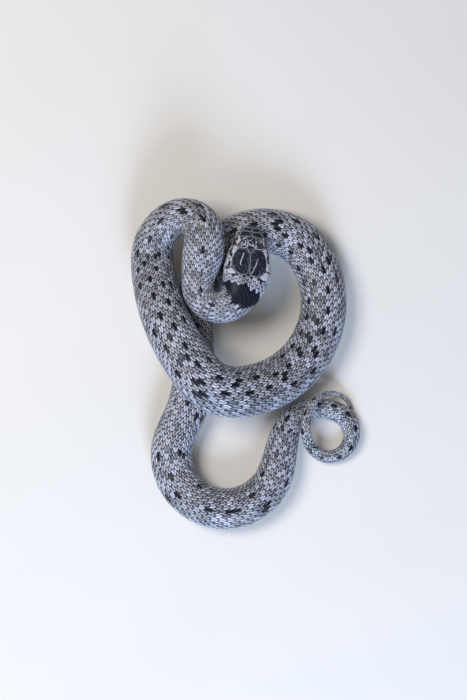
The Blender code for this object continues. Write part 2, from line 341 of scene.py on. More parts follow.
def stand(backbone: Backbone, sections: Sections, ring: Callable[[int], tuple[Array, Array]]) -> list[Array]:
    """Stand rings of points on the backbone, where they lean and roll with it.

    Args:
        backbone: The line they follow.
        sections: The sections they belong to.
        ring: Gives a ring's places across and over the widest line, from its number.

    Returns:
        The points of each ring.
    """
    foot, _, side, up = backbone.frames(sections.at)
    roll = np.radians(HEAD_ROLL) * (1.0 - ramp(sections.at, HEAD_LENGTH, ROLL_END))
    belly = lift(np.maximum(sections.at, 0.0))
    base = foot + up * (sections.widest - belly)[:, None]
    base[:, 2] += belly
    found = []
    for row, start in enumerate(base):
        across, over = rolled_over(*ring(row), roll[row])
        found.append(start + np.outer(across, side[row]) + np.outer(over, up[row]))
    return found


class Surface:
    """The skin as a grid of points, places along it by girths round it.

    Attributes:
        at, girth: Places of the grid's rings, and girths of its lines.
        points, normals: The grid's points in mm, and the outward directions there.
        turn: The points' places round the body, as shares of the way.
        half_arc: For each ring, half the length of its upper half and of its lower half.
        depth: How deep each ring lies under the solids.
    """

    DENSE = 241

    def __init__(self, backbone: Backbone, at: Array, girth: Array) -> None:
        """Spread the grid under the solids' sections, and sculpt the eye rims and the mouth.

        Args:
            backbone: The line the body follows.
            at: Places of the rings along the body.
            girth: Girths of the grid's lines.
        """
        self.at, self.girth = at, girth
        self.turn = np.zeros((len(at), len(girth)))
        self.half_arc = np.zeros((len(at), 2))
        sections = Sections(at)
        self.points = np.stack(stand(backbone, sections, lambda row: self._outline(sections, row)))
        self.depth = through(COAT_DEPTHS, at)
        outward = self._normals()
        self.points -= outward * self.depth[:, None, None]
        self.points += outward * self._sculpt(backbone)[..., None]
        self.normals = self._normals()

    def _outline(self, sections: Sections, row: int) -> tuple[Array, Array]:
        """Work out one ring, and keep its turns and its length.

        Args:
            sections: The sections of all rings.
            row: The ring's number.

        Returns:
            Places across and over the widest line, evenly spread in each half of the ring.
        """
        halves: list[tuple[Array, Array, Array, float]] = []
        under = np.where(self.girth < -1.0, self.girth + 4.0, self.girth)
        for start, low, wanted in ((math.pi, -1.0, self.girth), (0.0, 1.0, under)):
            a, b = sections.point(row, np.linspace(start, start - math.pi, self.DENSE))
            run = np.concatenate(([0.0], np.cumsum(np.hypot(np.diff(a), np.diff(b)))))
            share = run / max(run[-1], 1e-9)
            arc = np.clip((wanted - low) / 2.0, 0.0, 1.0)
            halves.append((np.interp(arc, share, a), np.interp(arc, share, b), arc, float(run[-1])))
        (top_a, top_b, top_arc, top), (low_a, low_b, low_arc, bottom) = halves
        whole = max(top + bottom, 1e-9)
        half_under = bottom / 2.0 / whole
        over = half_under + (top / 2.0 + (top_arc - 0.5) * top) / whole
        past = (low_arc * bottom) / whole
        below = np.where(self.girth > 0.0, (top + bottom / 2.0) / whole + past, past - half_under)
        on_top = np.abs(self.girth) <= 1.0
        self.turn[row] = np.where(on_top, over, below)
        self.half_arc[row] = (top / 2.0, bottom / 2.0)
        return np.where(on_top, top_a, low_a), np.where(on_top, top_b, low_b)

    def _normals(self) -> Array:
        """Work out the outward normals from the differences between neighbouring points.

        Returns:
            The normals; the end rings, which may be single points, take the next ring's mean.
        """
        along = np.gradient(self.points, axis=0)
        ring = self.points[:, :-1]
        across = np.roll(ring, -1, axis=1) - np.roll(ring, 1, axis=1)
        across = np.concatenate([across, across[:, :1]], axis=1)
        normal = np.cross(along, across)
        size = np.linalg.norm(normal, axis=2, keepdims=True)
        normal = normal / np.maximum(size, 1e-12)
        for end, following in ((0, 1), (-1, -2)):
            mean = normal[following].mean(axis=0)
            normal[end] = mean / max(np.linalg.norm(mean), 1e-9)
        return normal

    def _sculpt(self, backbone: Backbone) -> Array:
        """Work out the rims round the eyes and the line of the mouth.

        Args:
            backbone: The line the body follows.

        Returns:
            How far each point of the grid moves outwards.
        """
        push = np.zeros(self.points.shape[:2])
        for side in Side:
            centre, axis = eye_place(backbone, side)
            offset = self.points - centre
            out = offset @ axis
            radius = np.linalg.norm(offset - out[..., None] * axis, axis=2)
            rim = sum(height * bump(radius, middle, reach) for height, middle, reach in (LID_GROOVE, LID_RIM))
            inside = -SOCKET_DEPTH * (1.0 - ramp(radius, *SOCKET_EDGE))
            push += np.where((out > 0.0) & (radius < LID_REACH), rim + inside, 0.0)
        away = np.abs(np.abs(self.girth)[None, :] - 1.0) * self.half_arc[:, :1]
        return push - MOUTH_DEPTH * window(self.at, *MOUTH)[:, None] * bump(away, 0.0, MOUTH_HALF_WIDTH)

    def read(self, at: Array, girth: Array) -> tuple[Array, Array, Array]:
        """Read the grid between its points.

        Args:
            at: Places along the body.
            girth: Places round it, of the same count; any multiple of 4 may be added.

        Returns:
            Points, outward normals and the turn there.
        """
        girth = np.mod(girth + 2.0, 4.0) - 2.0
        i = np.clip(np.searchsorted(self.at, at, side="right") - 1, 0, len(self.at) - 2)
        j = np.clip(np.searchsorted(self.girth, girth, side="right") - 1, 0, len(self.girth) - 2)
        u = np.clip((at - self.at[i]) / (self.at[i + 1] - self.at[i]), 0.0, 1.0)
        w = (girth - self.girth[j]) / (self.girth[j + 1] - self.girth[j])

        def mix(table: Array) -> Array:
            """Blend the values of the four grid points round each place.

            Args:
                table: The values on the grid.

            Returns:
                The values at the places.
            """
            extra = (None,) * (table.ndim - 2)
            p, q = u[(...,) + extra], w[(...,) + extra]
            low = table[i, j] * (1.0 - q) + table[i, j + 1] * q
            high = table[i + 1, j] * (1.0 - q) + table[i + 1, j + 1] * q
            return low * (1.0 - p) + high * p

        normal = mix(self.normals)
        normal /= np.maximum(np.linalg.norm(normal, axis=-1, keepdims=True), 1e-9)
        return mix(self.points), normal, mix(self.turn)


def eye_place(backbone: Backbone, side: Side) -> tuple[Array, Array]:
    """Place one eye.

    Args:
        backbone: The line the body follows.
        side: The eye's side.

    Returns:
        Its centre, and the way it looks: to the side, a little up and a little ahead.
    """
    at = np.array([EYE_AT])
    foot, forward, across, up = (row[0] for row in backbone.frames(at))
    belly = float(lift(at)[0])
    roll = math.radians(HEAD_ROLL)
    sideways, over = rolled_over(side.value * EYE_SIDE, EYE_OVER_LIP, roll)
    base = foot + np.array((0.0, 0.0, belly)) + up * (float(Sections(at).widest[0]) - belly)
    look = across * side.value + up * (EYE_LOOKS_UP - side.value * math.tan(roll)) - forward * EYE_LOOKS_AHEAD
    return base + across * sideways + up * over, look / np.linalg.norm(look)


def centred_backbone() -> Backbone:
    """Make the backbone with the body's middle over the origin, and then ease its tilt.

    The middle is found on the same rings as the solids', so that skin and solids lie in one place.

    Returns:
        The backbone.
    """
    backbone = Backbone()
    sections = Sections(np.arange(HEAD_LENGTH, backbone.length, RING_STEP))
    angles = 2.0 * math.pi * np.arange(RING_CORNERS) / float(RING_CORNERS)
    cloud = np.concatenate(stand(backbone, sections, lambda row: sections.point(row, angles)))
    middle = (cloud.min(axis=0) + cloud.max(axis=0)) / 2.0
    backbone.x -= middle[0]
    backbone.y -= middle[1]
    backbone.ease_tilt()
    return backbone


# ---------------------------------------------------------------- markings


@dataclass(frozen=True)
class SpotRow:
    """A row of dark spots along the body.

    Attributes:
        start, end: The stretch of body it is on.
        offset: Millimetres to the snake's left of the middle of the back.
        first: Where one of its spots is.
        spacing: From one spot to the next.
        long, wide: Half the length and half the width of a spot.
        strength: 1 for black, less for a faint spot.
    """

    start: float
    end: float
    offset: float
    first: float
    spacing: float
    long: float
    wide: float
    strength: float


SPOT_ROWS = (
    SpotRow(24.0, 44.0, 0.2, 26.2, 4.7, 0.75, 0.70, 0.85),
    SpotRow(44.0, 69.0, 0.8, 47.5, 5.0, 0.75, 0.80, 0.95),
    SpotRow(67.0, 200.0, 1.1, 70.1, 5.32, 0.72, 1.05, 1.0),
    SpotRow(60.0, 200.0, -1.5, 67.4, 5.32, 0.68, 0.95, 0.95),
    SpotRow(46.0, 205.0, 4.0, 66.4, 5.32, 0.70, 0.85, 0.85),
    SpotRow(46.0, 205.0, -4.5, 67.9, 5.32, 0.66, 0.80, 0.75),
    SpotRow(40.0, 240.0, 7.2, 69.0, 5.32, 0.65, 0.70, 0.5),
    SpotRow(40.0, 240.0, -7.2, 70.5, 5.32, 0.65, 0.70, 0.5),
    SpotRow(290.0, 350.0, -1.0, 293.0, 3.9, 0.60, 0.42, 1.0),
)
# Where the loose spots of the rear body start and end
LOOSE_SPOTS = (188.0, 206.0, 284.0, 292.0)
LOOSE_STRENGTH = 0.7
SPOT_DARKNESS = 0.78
CHEQUER_STRENGTH = 0.7
# Pale streaks on the parietals: places and girths of a line, and its strength
STREAKS = (
    (((7.5, -0.20), (8.6, -0.24), (9.6, -0.265), (10.5, -0.27), (11.2, -0.22)), 0.75),
    (((8.3, -0.07), (9.6, -0.075), (11.0, -0.09), (12.3, -0.13)), 0.40),
    (((8.8, 0.25), (9.8, 0.22), (10.8, 0.18), (11.8, 0.13), (12.9, 0.09)), 0.75),
    (((10.8, 0.46), (11.6, 0.39), (12.4, 0.31), (13.0, 0.25)), 0.45),
    (((11.4, -0.31), (12.2, -0.25), (12.9, -0.16)), 0.40),
)
STREAK_HALF_WIDTH = 0.15
COLLAR_START = 15.7
COLLAR_END = 21.0
COLLAR_LEAST = 1.7
COLLAR_SOFT = 0.35
# Distances from the nape's middle line at which its two pale patches start
NAPE_MIDDLE = 0.4
NAPE_EDGE = (0.9, 1.5)


class Markings:
    """Where the snake is dark, cream or warm in tone, told from places on its body."""

    CELLS = 64

    def __init__(self) -> None:
        """Draw the noise that makes the markings uneven."""
        chance = np.random.default_rng(SEED)
        self._noise = chance.uniform(-1.0, 1.0, (self.CELLS, self.CELLS))

    def ripple(self, x: Array, y: Array) -> Array:
        """Read smooth noise.

        Args:
            x, y: Places in it; its cells are one unit across.

        Returns:
            Noise there, from -1 to 1.
        """
        i, j = np.floor(x).astype(int), np.floor(y).astype(int)
        u, w = x - i, y - j
        u, w = u * u * (3.0 - 2.0 * u), w * w * (3.0 - 2.0 * w)

        def cell(a: Array, b: Array) -> Array:
            """The noise at a corner of a cell."""
            return self._noise[np.mod(a, self.CELLS), np.mod(b, self.CELLS)]

        low = cell(i, j) * (1.0 - w) + cell(i, j + 1) * w
        high = cell(i + 1, j) * (1.0 - w) + cell(i + 1, j + 1) * w
        return low * (1.0 - u) + high * u

    def drawn(self, number: Array, line: float) -> Array:
        """Smooth noise along one line, for things that are numbered."""
        return self.ripple(number, np.full_like(number, line))

    def spots(self, at: Array, turn: Array) -> Array:
        """Find how dark the skin is with spots and the collar.

        Args:
            at: Places along the body.
            turn: Places round it, as shares of the way.

        Returns:
            Darkness there, from 0 to 1.
        """
        offset = (0.5 - turn) * girth_length(at)
        uneven = 0.22 * self.ripple(at * 0.9, offset * 0.9 + 7.0)
        dark = np.zeros_like(at)
        for number, row in enumerate(SPOT_ROWS):
            count = np.round((at - row.first) / row.spacing)
            shift = 0.45 * self.drawn(count * 1.7 + 0.5, 3.1 * number)
            along = (at - row.first - count * row.spacing - shift) / row.long
            away = (offset - row.offset - 0.3 * self.drawn(count * 1.3, 5.3 * number)) / row.wide
            near = 1.0 - ramp(np.hypot(along, away) + uneven, 0.85, 1.25)
            on = window(at, row.start - 1.0, row.start + 1.0, row.end - 1.0, row.end + 1.0)
            strength = row.strength * (0.90 + 0.35 * self.drawn(count * 2.3 + 0.4, 9.7 * number))
            dark = np.maximum(dark, near * on * strength)
        loose = ramp(self.ripple(at * 0.85 + 3.3, offset * 0.95 + 17.0), 0.58, 0.72)
        loose *= window(at, *LOOSE_SPOTS)
        spotted = np.maximum(dark.clip(0.0, 1.0), loose * LOOSE_STRENGTH) * SPOT_DARKNESS
        return np.maximum(spotted, self.collar(at, offset))

    def chequers(self, at: Array, across: Array, pitch: float) -> Array:
        """Find the dark squares on the belly's scutes, on either side of its middle.

        Args:
            at: Places of the scutes' roots.
            across: Places across a scute, from -1 to 1.
            pitch: From one scute to the next.

        Returns:
            Darkness there, from 0 to 1.
        """
        number = np.round(at / pitch)
        found = np.zeros_like(at)
        for side in Side:
            chance = self.drawn(number * 0.83 + 0.37, 21.3 + 5.0 * side.value)
            middle = side.value * (0.30 + 0.12 * self.drawn(number * 0.61, 33.7))
            size = 0.10 + 0.06 * self.drawn(number * 0.47 + 0.2, 41.2)
            near = 1.0 - ramp(np.abs(across - middle), size, size + 0.04)
            found = np.maximum(found, near * (chance > 0.05) * CHEQUER_STRENGTH)
        return found

    def collar(self, at: Array, offset: Array) -> Array:
        """The dark collar, with a V-shaped rear edge, and the faint strip between the nape's patches.

        Args:
            at: Places along the body.
            offset: Millimetres to the snake's left of the middle of the back.

        Returns:
            Darkness there, from 0 to 1.
        """
        away = np.abs(offset)
        ragged = 0.35 * self.ripple(offset * 1.2, at * 0.4)
        front = COLLAR_START + 0.14 * away + ragged
        rear = np.maximum(COLLAR_END - 0.45 * away, front + COLLAR_LEAST) + ragged
        edges = (front - COLLAR_SOFT, front + COLLAR_SOFT, rear - COLLAR_SOFT, rear + COLLAR_SOFT)
        band = window(at, *edges) * (1.0 - ramp(away, 8.6, 10.0))
        middle = 1.0 - ramp(np.abs(offset - NAPE_MIDDLE), *NAPE_EDGE)
        return np.maximum(band, 0.36 * middle * (1.0 - ramp(at, front, front + 1.0)))

    def head_dark(self, at: Array, girth: Array, dark: Array) -> Array:
        """Find how dark a head shield is.

        The shields behind the frontal have pale streaks, those before it pale flecks, and a dark
        stripe and bar run through the eye.

        Args:
            at: Places along the head.
            girth: Places round it.
            dark: The shield's own share of dark.

        Returns:
            Darkness there, from 0 to 1.
        """
        away = np.abs(girth)
        streak = np.zeros_like(at)
        for line, strength in STREAKS:
            where, across = np.array(line).T
            off = (girth - np.interp(at, where, across)) * 7.6 + 0.08 * self.ripple(at * 2.3, girth * 9.0)
            on = window(at, where[0] - 0.25, where[0] + 0.25, where[-1] - 0.25, where[-1] + 0.25)
            streak = np.maximum(streak, strength * on * bump(off, 0.0, STREAK_HALF_WIDTH))
        flecks = 0.62 * ramp(self.ripple(at * 3.1 + 9.0, girth * 24.0), 0.10, 0.45) * (dark > 0.5)
        flecks = flecks * ramp(at, 2.6, 3.2) * (1.0 - ramp(at, 6.0, 7.6))
        flecks = flecks * (1.0 - 0.55 * ramp(away, 0.16, 0.2))
        stripe = bump(away, 0.67 + 0.006 * (at - EYE_AT), 0.06)
        stripe = stripe * ramp(at, 0.8, 1.6) * (1.0 - ramp(at, 7.4, 9.0))
        blot = 0.9 * ramp(self.ripple(at * 0.85 + 4.0, girth * 5.0), 0.35, 0.6) * ramp(away, 0.55, 0.6)
        blot = blot * ramp(at, 6.5, 7.5) * (1.0 - ramp(away, 0.80, 0.86))
        bar = bump(away, 0.9, 0.12) * bump(at, EYE_AT, 0.5)
        return np.clip(np.maximum.reduce([dark - streak - flecks, 0.9 * stripe, blot, 0.8 * bar]), 0.0, 1.0)

    def pale(self, at: Array, turn: Array) -> Array:
        """Work out how much paler the scales are: on the two patches of the nape, less on the left one, which
        is dimmed as painted shade.

        Args:
            at, turn: Places along and round the body.

        Returns:
            Shares from 0 to 1.
        """
        offset = (0.5 - turn) * girth_length(at)
        nape = (1.0 - ramp(at, 16.5, 17.8)) * ramp(np.abs(offset - NAPE_MIDDLE), *NAPE_EDGE)
        # The left patch is dimmed as painted shade
        return nape * (1.0 - 0.4 * ramp(offset, *NAPE_EDGE))

    def warm(self, at: Array, turn: Array) -> Array:
        """Work out how brown the scales' middles are: most along the back of the neck.

        Args:
            at, turn: Places along and round the body.

        Returns:
            Shares from 0 to 1.
        """
        back = 1.0 - ramp(np.abs(turn - 0.5), 0.06, 0.24)
        forward = 0.55 + 0.45 * (1.0 - ramp(at, 40.0, 75.0))
        return np.clip(back * forward + 0.25 * self.ripple(at * 0.15, turn * 9.0), 0.0, 1.0)

    def cream(self, turn: Array) -> Array:
        """1 on the belly, 0 on the back, with the change low on the flank."""
        return 1.0 - ramp(np.minimum(turn, 1.0 - turn), 0.13, 0.19)


def girth_length(at: Array) -> Array:
    """Work out how long the way round the body is.

    Args:
        at: Places along the body.

    Returns:
        The length there, in mm.
    """
    width = through(WIDTHS, at)
    height = width * through(TALLNESS, at)
    return math.pi / 2.0 * (width + height) * GIRTH_SHARE


# ---------------------------------------------------------------- node trees


class Wire:
    """A node's output socket; Python's operators on it add Math nodes to its tree."""

    def __init__(self, board: "Board", socket: bpy.types.NodeSocket) -> None:
        """Remember the socket and the board it is on."""
        self.board = board
        self.socket = socket

    def _math(self, operation: str, *operands: "Wire | float") -> "Wire":
        """Add a Math node on the operands."""
        return self.board.node("ShaderNodeMath", {"operation": operation}, dict(enumerate(operands))).wire()

    def __add__(self, other: "Wire | float") -> "Wire":
        """Sum."""
        return self._math("ADD", self, other)

    def __radd__(self, other: float) -> "Wire":
        """Sum with a number in front."""
        return self._math("ADD", other, self)

    def __sub__(self, other: "Wire | float") -> "Wire":
        """Difference."""
        return self._math("SUBTRACT", self, other)

    def __rsub__(self, other: float) -> "Wire":
        """Difference from a number."""
        return self._math("SUBTRACT", other, self)

    def __mul__(self, other: "Wire | float") -> "Wire":
        """Product."""
        return self._math("MULTIPLY", self, other)

    def __rmul__(self, other: float) -> "Wire":
        """Product with a number in front."""
        return self._math("MULTIPLY", other, self)

    def __truediv__(self, other: "Wire | float") -> "Wire":
        """Quotient."""
        return self._math("DIVIDE", self, other)

    def __mod__(self, other: "Wire | float") -> "Wire":
        """What is left after whole steps, never below 0."""
        return self._math("FLOORED_MODULO", self, other)

    def __abs__(self) -> "Wire":
        """Size without sign."""
        return self._math("ABSOLUTE", self)

    def exp(self) -> "Wire":
        """Exponential."""
        return self._math("EXPONENT", self)

    def log(self) -> "Wire":
        """Natural logarithm."""
        return self._math("LOGARITHM", self, math.e)

    def floor(self) -> "Wire":
        """Whole number below."""
        return self._math("FLOOR", self)

    def sign(self) -> "Wire":
        """-1, 0 or 1."""
        return self._math("SIGN", self)

    def max(self, other: "Wire | float") -> "Wire":
        """The greater of the two."""
        return self._math("MAXIMUM", self, other)

    def clip(self, low: float, high: float) -> "Wire":
        """The value, kept between low and high."""
        return self._math("MINIMUM", self._math("MAXIMUM", self, low), high)

    def ramp(self, low: float, high: float) -> "Wire":
        """0 below low, 1 above high, and a smooth rise between."""
        settings = {"interpolation_type": "SMOOTHSTEP"}
        return self.board.node("ShaderNodeMapRange", settings, {"Value": self, 1: low, 2: high}).wire()


class Part:
    """One node on a board."""

    def __init__(self, board: "Board", node: bpy.types.Node) -> None:
        """Remember the node and the board it is on."""
        self.board = board
        self.node = node

    def wire(self, output: str | int = 0) -> Wire:
        """The wire from one of the node's outputs."""
        return Wire(self.board, self.node.outputs[output])


class Board:
    """A node tree that is being wired, of a material or of Geometry Nodes."""

    def __init__(self, tree: bpy.types.NodeTree) -> None:
        """Remember the tree."""
        self.tree = tree

    def node(
        self,
        kind: str,
        settings: Mapping[str, object] | None = None,
        inputs: Mapping[str | int, object] | None = None,
    ) -> Part:
        """Add a node.

        Args:
            kind: The node's type.
            settings: Its properties, set first.
            inputs: What its sockets are fed, by name or number.

        Returns:
            The node.
        """
        node = self.tree.nodes.new(kind)
        for name, value in (settings or {}).items():
            setattr(node, name, value)
        self.feed(node, inputs or {})
        return Part(self, node)

    def feed(self, node: bpy.types.Node, inputs: Mapping[str | int, object]) -> None:
        """Give a node's sockets, by name or number, their numbers, colours, data or wires."""
        for name, value in inputs.items():
            if isinstance(value, Wire):
                self.tree.links.new(value.socket, node.inputs[name])
            else:
                node.inputs[name].default_value = value

    def attributes(self, *names: str) -> list[Wire]:
        """Numbers stored on the mesh, in a material."""
        return [self.node("ShaderNodeAttribute", {"attribute_name": name}).wire("Fac") for name in names]

    def vector(self, x: Wire, y: Wire, z: float) -> Wire:
        """A vector from its parts."""
        return self.node("ShaderNodeCombineXYZ", None, {"X": x, "Y": y, "Z": z}).wire()

    def colour_mix(self, share: Wire | float, first: Wire | Colour, second: Wire | Colour) -> Wire:
        """Blend two colours.

        Args:
            share: How much there is of the second one.
            first, second: The colours.

        Returns:
            The blend.
        """
        first, second = ((*c, 1.0) if isinstance(c, tuple) else c for c in (first, second))
        part = self.node("ShaderNodeMix", {"data_type": "RGBA"}, {0: share, 6: first, 7: second})
        return part.wire(2)

    def noise(self, coordinates: Wire, per_mm: float, detail: float = 3.0) -> Wire:
        """Noise with features of about 1 / per_mm millimetres, from 0 to 1."""
        inputs = {"Vector": coordinates, "Scale": per_mm / MM, "Detail": detail}
        return self.node("ShaderNodeTexNoise", None, inputs).wire(0)

    def bumps(self, coordinates: Wire, per_mm: float, strength: float, height: float) -> Wire:
        """Normals of fine bumps, height millimetres high and about 1 / per_mm wide."""
        inputs = {"Strength": strength, "Distance": height * MM, "Height": self.noise(coordinates, per_mm)}
        return self.node("ShaderNodeBump", None, inputs).wire()


class Finish(Board):
    """The board of a new material.

    Attributes:
        material: The material.
        place: Places on the object, in metres.
    """

    def __init__(self, name: str) -> None:
        """Start the material with its Principled shader.

        Args:
            name: The material's name.
        """
        self.material = bpy.data.materials.new(name)
        self.material.use_nodes = True
        super().__init__(self.material.node_tree)
        self.place = self.node("ShaderNodeTexCoord").wire("Object")

    def shaded(self, inputs: Mapping[str, Wire | float]) -> bpy.types.Material:
        """Feed the shader's sockets, and hand over the material."""
        self.feed(self.tree.nodes["Principled BSDF"], inputs)
        return self.material


# ---------------------------------------------------------------- finishes


@dataclass(frozen=True)
class ScaleFinish:
    """Smooth satin scales: grey with pale edges and dark gaps, dark spots and a cream belly. The gaps carry
    painted shade, the edges part painted sky reflection, the collar a painted blue sheen.

    Attributes:
        name: The material's name.
        ground, pale: Colours of a scale's middle and of its edges; the pale bluish edges and tip are partly
            the scale's own edging and partly a painted reflection of the sky.
        base: Colour of its hidden base and of the gaps between scales: partly dark skin, partly painted shade
            where the scales overlap.
        warm: Colour of the middles along the back of the neck.
        spot, spot_rim, collar_sheen: Colours of a dark scale, its rim, and, in the collar, the painted blue
            sheen along its sides.
        cream, cream_rim: Colours of the belly's scales.
        roughness: Of a clean scale.
        relief: Height of the fine bumps, in mm.
    """

    name: str
    ground: Colour = (0.150, 0.148, 0.156)
    pale: Colour = (0.55, 0.60, 0.75)
    base: Colour = (0.008, 0.009, 0.013)
    warm: Colour = (0.190, 0.160, 0.134)
    spot: Colour = (0.003, 0.004, 0.008)
    spot_rim: Colour = (0.190, 0.190, 0.230)
    # A painted sheen: the blue reflection of the sky on the sides of the collar's black scales
    collar_sheen: Colour = (0.022, 0.042, 0.100)
    cream: Colour = (0.72, 0.58, 0.48)
    cream_rim: Colour = (0.82, 0.72, 0.62)
    roughness: float = 0.33
    relief: float = 0.012

    def material(self) -> bpy.types.Material:
        """Build the material.

        Returns:
            The material.
        """
        board = Finish(self.name)
        names = ("tint", "spot", "along", "rim", "cream", "warm", "across")
        tint, spot, along, rim, cream, warm, across = board.attributes(*names)
        fine, broad = board.noise(board.place, 3.2), board.noise(board.place, 0.35)
        away = abs(across)
        line = away.ramp(0.34, 0.74) * along.ramp(0.30, 0.56)
        # The pale bluish sides and tip of each scale: partly its own pale edging, partly a painted reflection
        # of the sky
        side = away.ramp(0.26, 0.60) * 0.75
        side = ((side + (1.0 - rim.ramp(0.18, 0.42)) * 0.6) * along.ramp(0.26, 0.5)).clip(0.0, 1.0)
        edge = (side + along.ramp(0.78, 0.98) * 0.5).clip(0.0, 1.0)
        # Painted shade: each scale darkens towards the base colour at its rim, where it meets the gaps
        gap = (1.0 - rim.ramp(0.06, 0.22)) * 0.95
        ground = board.colour_mix(warm * (0.35 + broad * 0.5), self.ground, self.warm)
        ground = board.colour_mix(((tint - 0.55) * 0.9).clip(0.0, 0.7), ground, self.pale)
        ground = board.colour_mix((0.5 - tint).clip(0.0, 0.5) * 1.7, ground, self.base)
        ground = board.colour_mix(fine.ramp(0.48, 0.72) * 0.45, ground, self.base)
        ground = board.colour_mix((edge * (0.44 + tint * 0.66)).clip(0.0, 1.0), ground, self.pale)
        belly = board.colour_mix(edge, self.cream, self.cream_rim)
        ground = board.colour_mix(cream, ground, belly)
        # Dark scales get a grey rim; in the collar the painted blue sheen takes its place
        rim_and_sheen = board.colour_mix(spot.ramp(0.80, 0.98), self.spot_rim, self.collar_sheen)
        dark = board.colour_mix(line * fine.ramp(0.42, 0.60), self.spot, rim_and_sheen)
        mixed = board.colour_mix((spot + (fine - 0.5) * 0.25).ramp(0.25, 0.55), ground, dark)
        # Painted shade, partly dark skin: each scale's hidden root and its rim gaps take the dark base
        # colour, less on the cream belly
        dark_skin_and_shade = (1.0 - along.ramp(0.28, 0.54)).max(gap) * (1.0 - cream * 0.7) * 0.92
        return board.shaded({
            "Base Color": board.colour_mix(dark_skin_and_shade, mixed, self.base),
            "Roughness": self.roughness + (fine - 0.5) * 0.16 + (tint - 0.5) * 0.1,
            "Normal": board.bumps(board.place, 7.0, 0.35, self.relief),
            "Specular IOR Level": 0.14,
        })


# ---------------------------------------------------------------- meshes


def plain_mesh(name: str, points: Array, faces: Sequence[Sequence[int]]) -> bpy.types.Mesh:
    """Make a smooth-shaded mesh.

    Args:
        name: Its name.
        points: Its points, in millimetres.
        faces: The points of each face.

    Returns:
        The mesh.
    """
    mesh = bpy.data.meshes.new(name)
    mesh.from_pydata((points * MM).tolist(), [], faces)
    mesh.validate()
    mesh.shade_smooth()
    return mesh


def grid_faces(rows: int, columns: int, closed: bool) -> list[list[int]]:
    """Find the quads between rows of points.

    Args:
        rows, columns: How many rows there are, and points in each.
        closed: True where the last point of a row is beside its first.

    Returns:
        The quads' points.
    """
    i, j = np.meshgrid(np.arange(rows - 1), np.arange(columns if closed else columns - 1), indexing="ij")
    here, beside = i * columns, (j + 1) % columns
    quads = np.stack([here + j, here + columns + j, here + columns + beside, here + beside])
    return quads.reshape(4, -1).T.tolist()


def tube_faces(rows: int, columns: int) -> list[list[int]]:
    """Find the faces of a tube of closed rows of points, with one more point after them for each end.

    Args:
        rows, columns: How many rows there are, and points in each.

    Returns:
        The faces' points.
    """
    ends, last = rows * columns, (rows - 1) * columns
    faces = grid_faces(rows, columns, closed=True)
    faces += [[ends, k, (k + 1) % columns] for k in range(columns)]
    faces += [[ends + 1, last + (k + 1) % columns, last + k] for k in range(columns)]
    return faces


def put(mesh: bpy.types.Mesh, name: str, values: Array) -> None:
    """Store a number for each point of a mesh."""
    attribute = mesh.attributes.get(name) or mesh.attributes.new(name, "FLOAT", "POINT")
    attribute.data.foreach_set("value", np.ascontiguousarray(values, dtype=np.float32).ravel())


def got(mesh: bpy.types.Mesh, name: str) -> Array:
    """Read a number stored for each point of a mesh.

    Args:
        mesh: The mesh.
        name: The number's name.

    Returns:
        Its value for each point.
    """
    values = np.zeros(len(mesh.vertices), dtype=np.float32)
    mesh.attributes[name].data.foreach_get("value", values)
    return values.astype(float)


def corner_points(mesh: bpy.types.Mesh) -> Array:
    """Find the point that each face corner is on.

    Args:
        mesh: The mesh.

    Returns:
        The points' numbers.
    """
    index = np.zeros(len(mesh.loops), dtype=np.int32)
    mesh.loops.foreach_get("vertex_index", index)
    return index


def put_map(mesh: bpy.types.Mesh, name: str, corners: Array) -> None:
    """Store a UV map, given for each face corner."""
    layer = mesh.uv_layers.get(name) or mesh.uv_layers.new(name=name)
    layer.data.foreach_set("uv", np.ascontiguousarray(corners, dtype=np.float32).ravel())


def in_scene(name: str, data: bpy.types.ID) -> bpy.types.Object:
    """Put a new object in the scene.

    Args:
        name: Its name.
        data: Its mesh, light or camera.

    Returns:
        The object.
    """
    made = bpy.data.objects.new(name, data)
    bpy.context.scene.collection.objects.link(made)
    return made


def new_piece(name: str, mesh: bpy.types.Mesh, material: bpy.types.Material) -> bpy.types.Object:
    """Put an object at the origin with its mesh and finish.

    Args:
        name: Its name.
        mesh: Its mesh.
        material: Its finish.

    Returns:
        The object.
    """
    mesh.materials.clear()
    mesh.materials.append(material)
    return in_scene(name, mesh)


# The bake map unwraps the skin and folds it into bands, each this long in mm
BANDS = 8
BAND_MM = 44.5
BAND_FILL = 0.98


def band_of(at: Array) -> Array:
    """Number of the band that a place along the body is in."""
    return np.floor(np.clip(at, 0.0, BANDS * BAND_MM - 0.01) / BAND_MM)


def folded(at: Array, turn: Array) -> tuple[Array, Array]:
    """Place on the unwrap of the skin, from 0 to 1 both ways."""
    band = band_of(at)
    return (np.maximum(at, 0.0) - band * BAND_MM) / BAND_MM, (band + np.clip(turn, 0.0, 0.999)) / BANDS


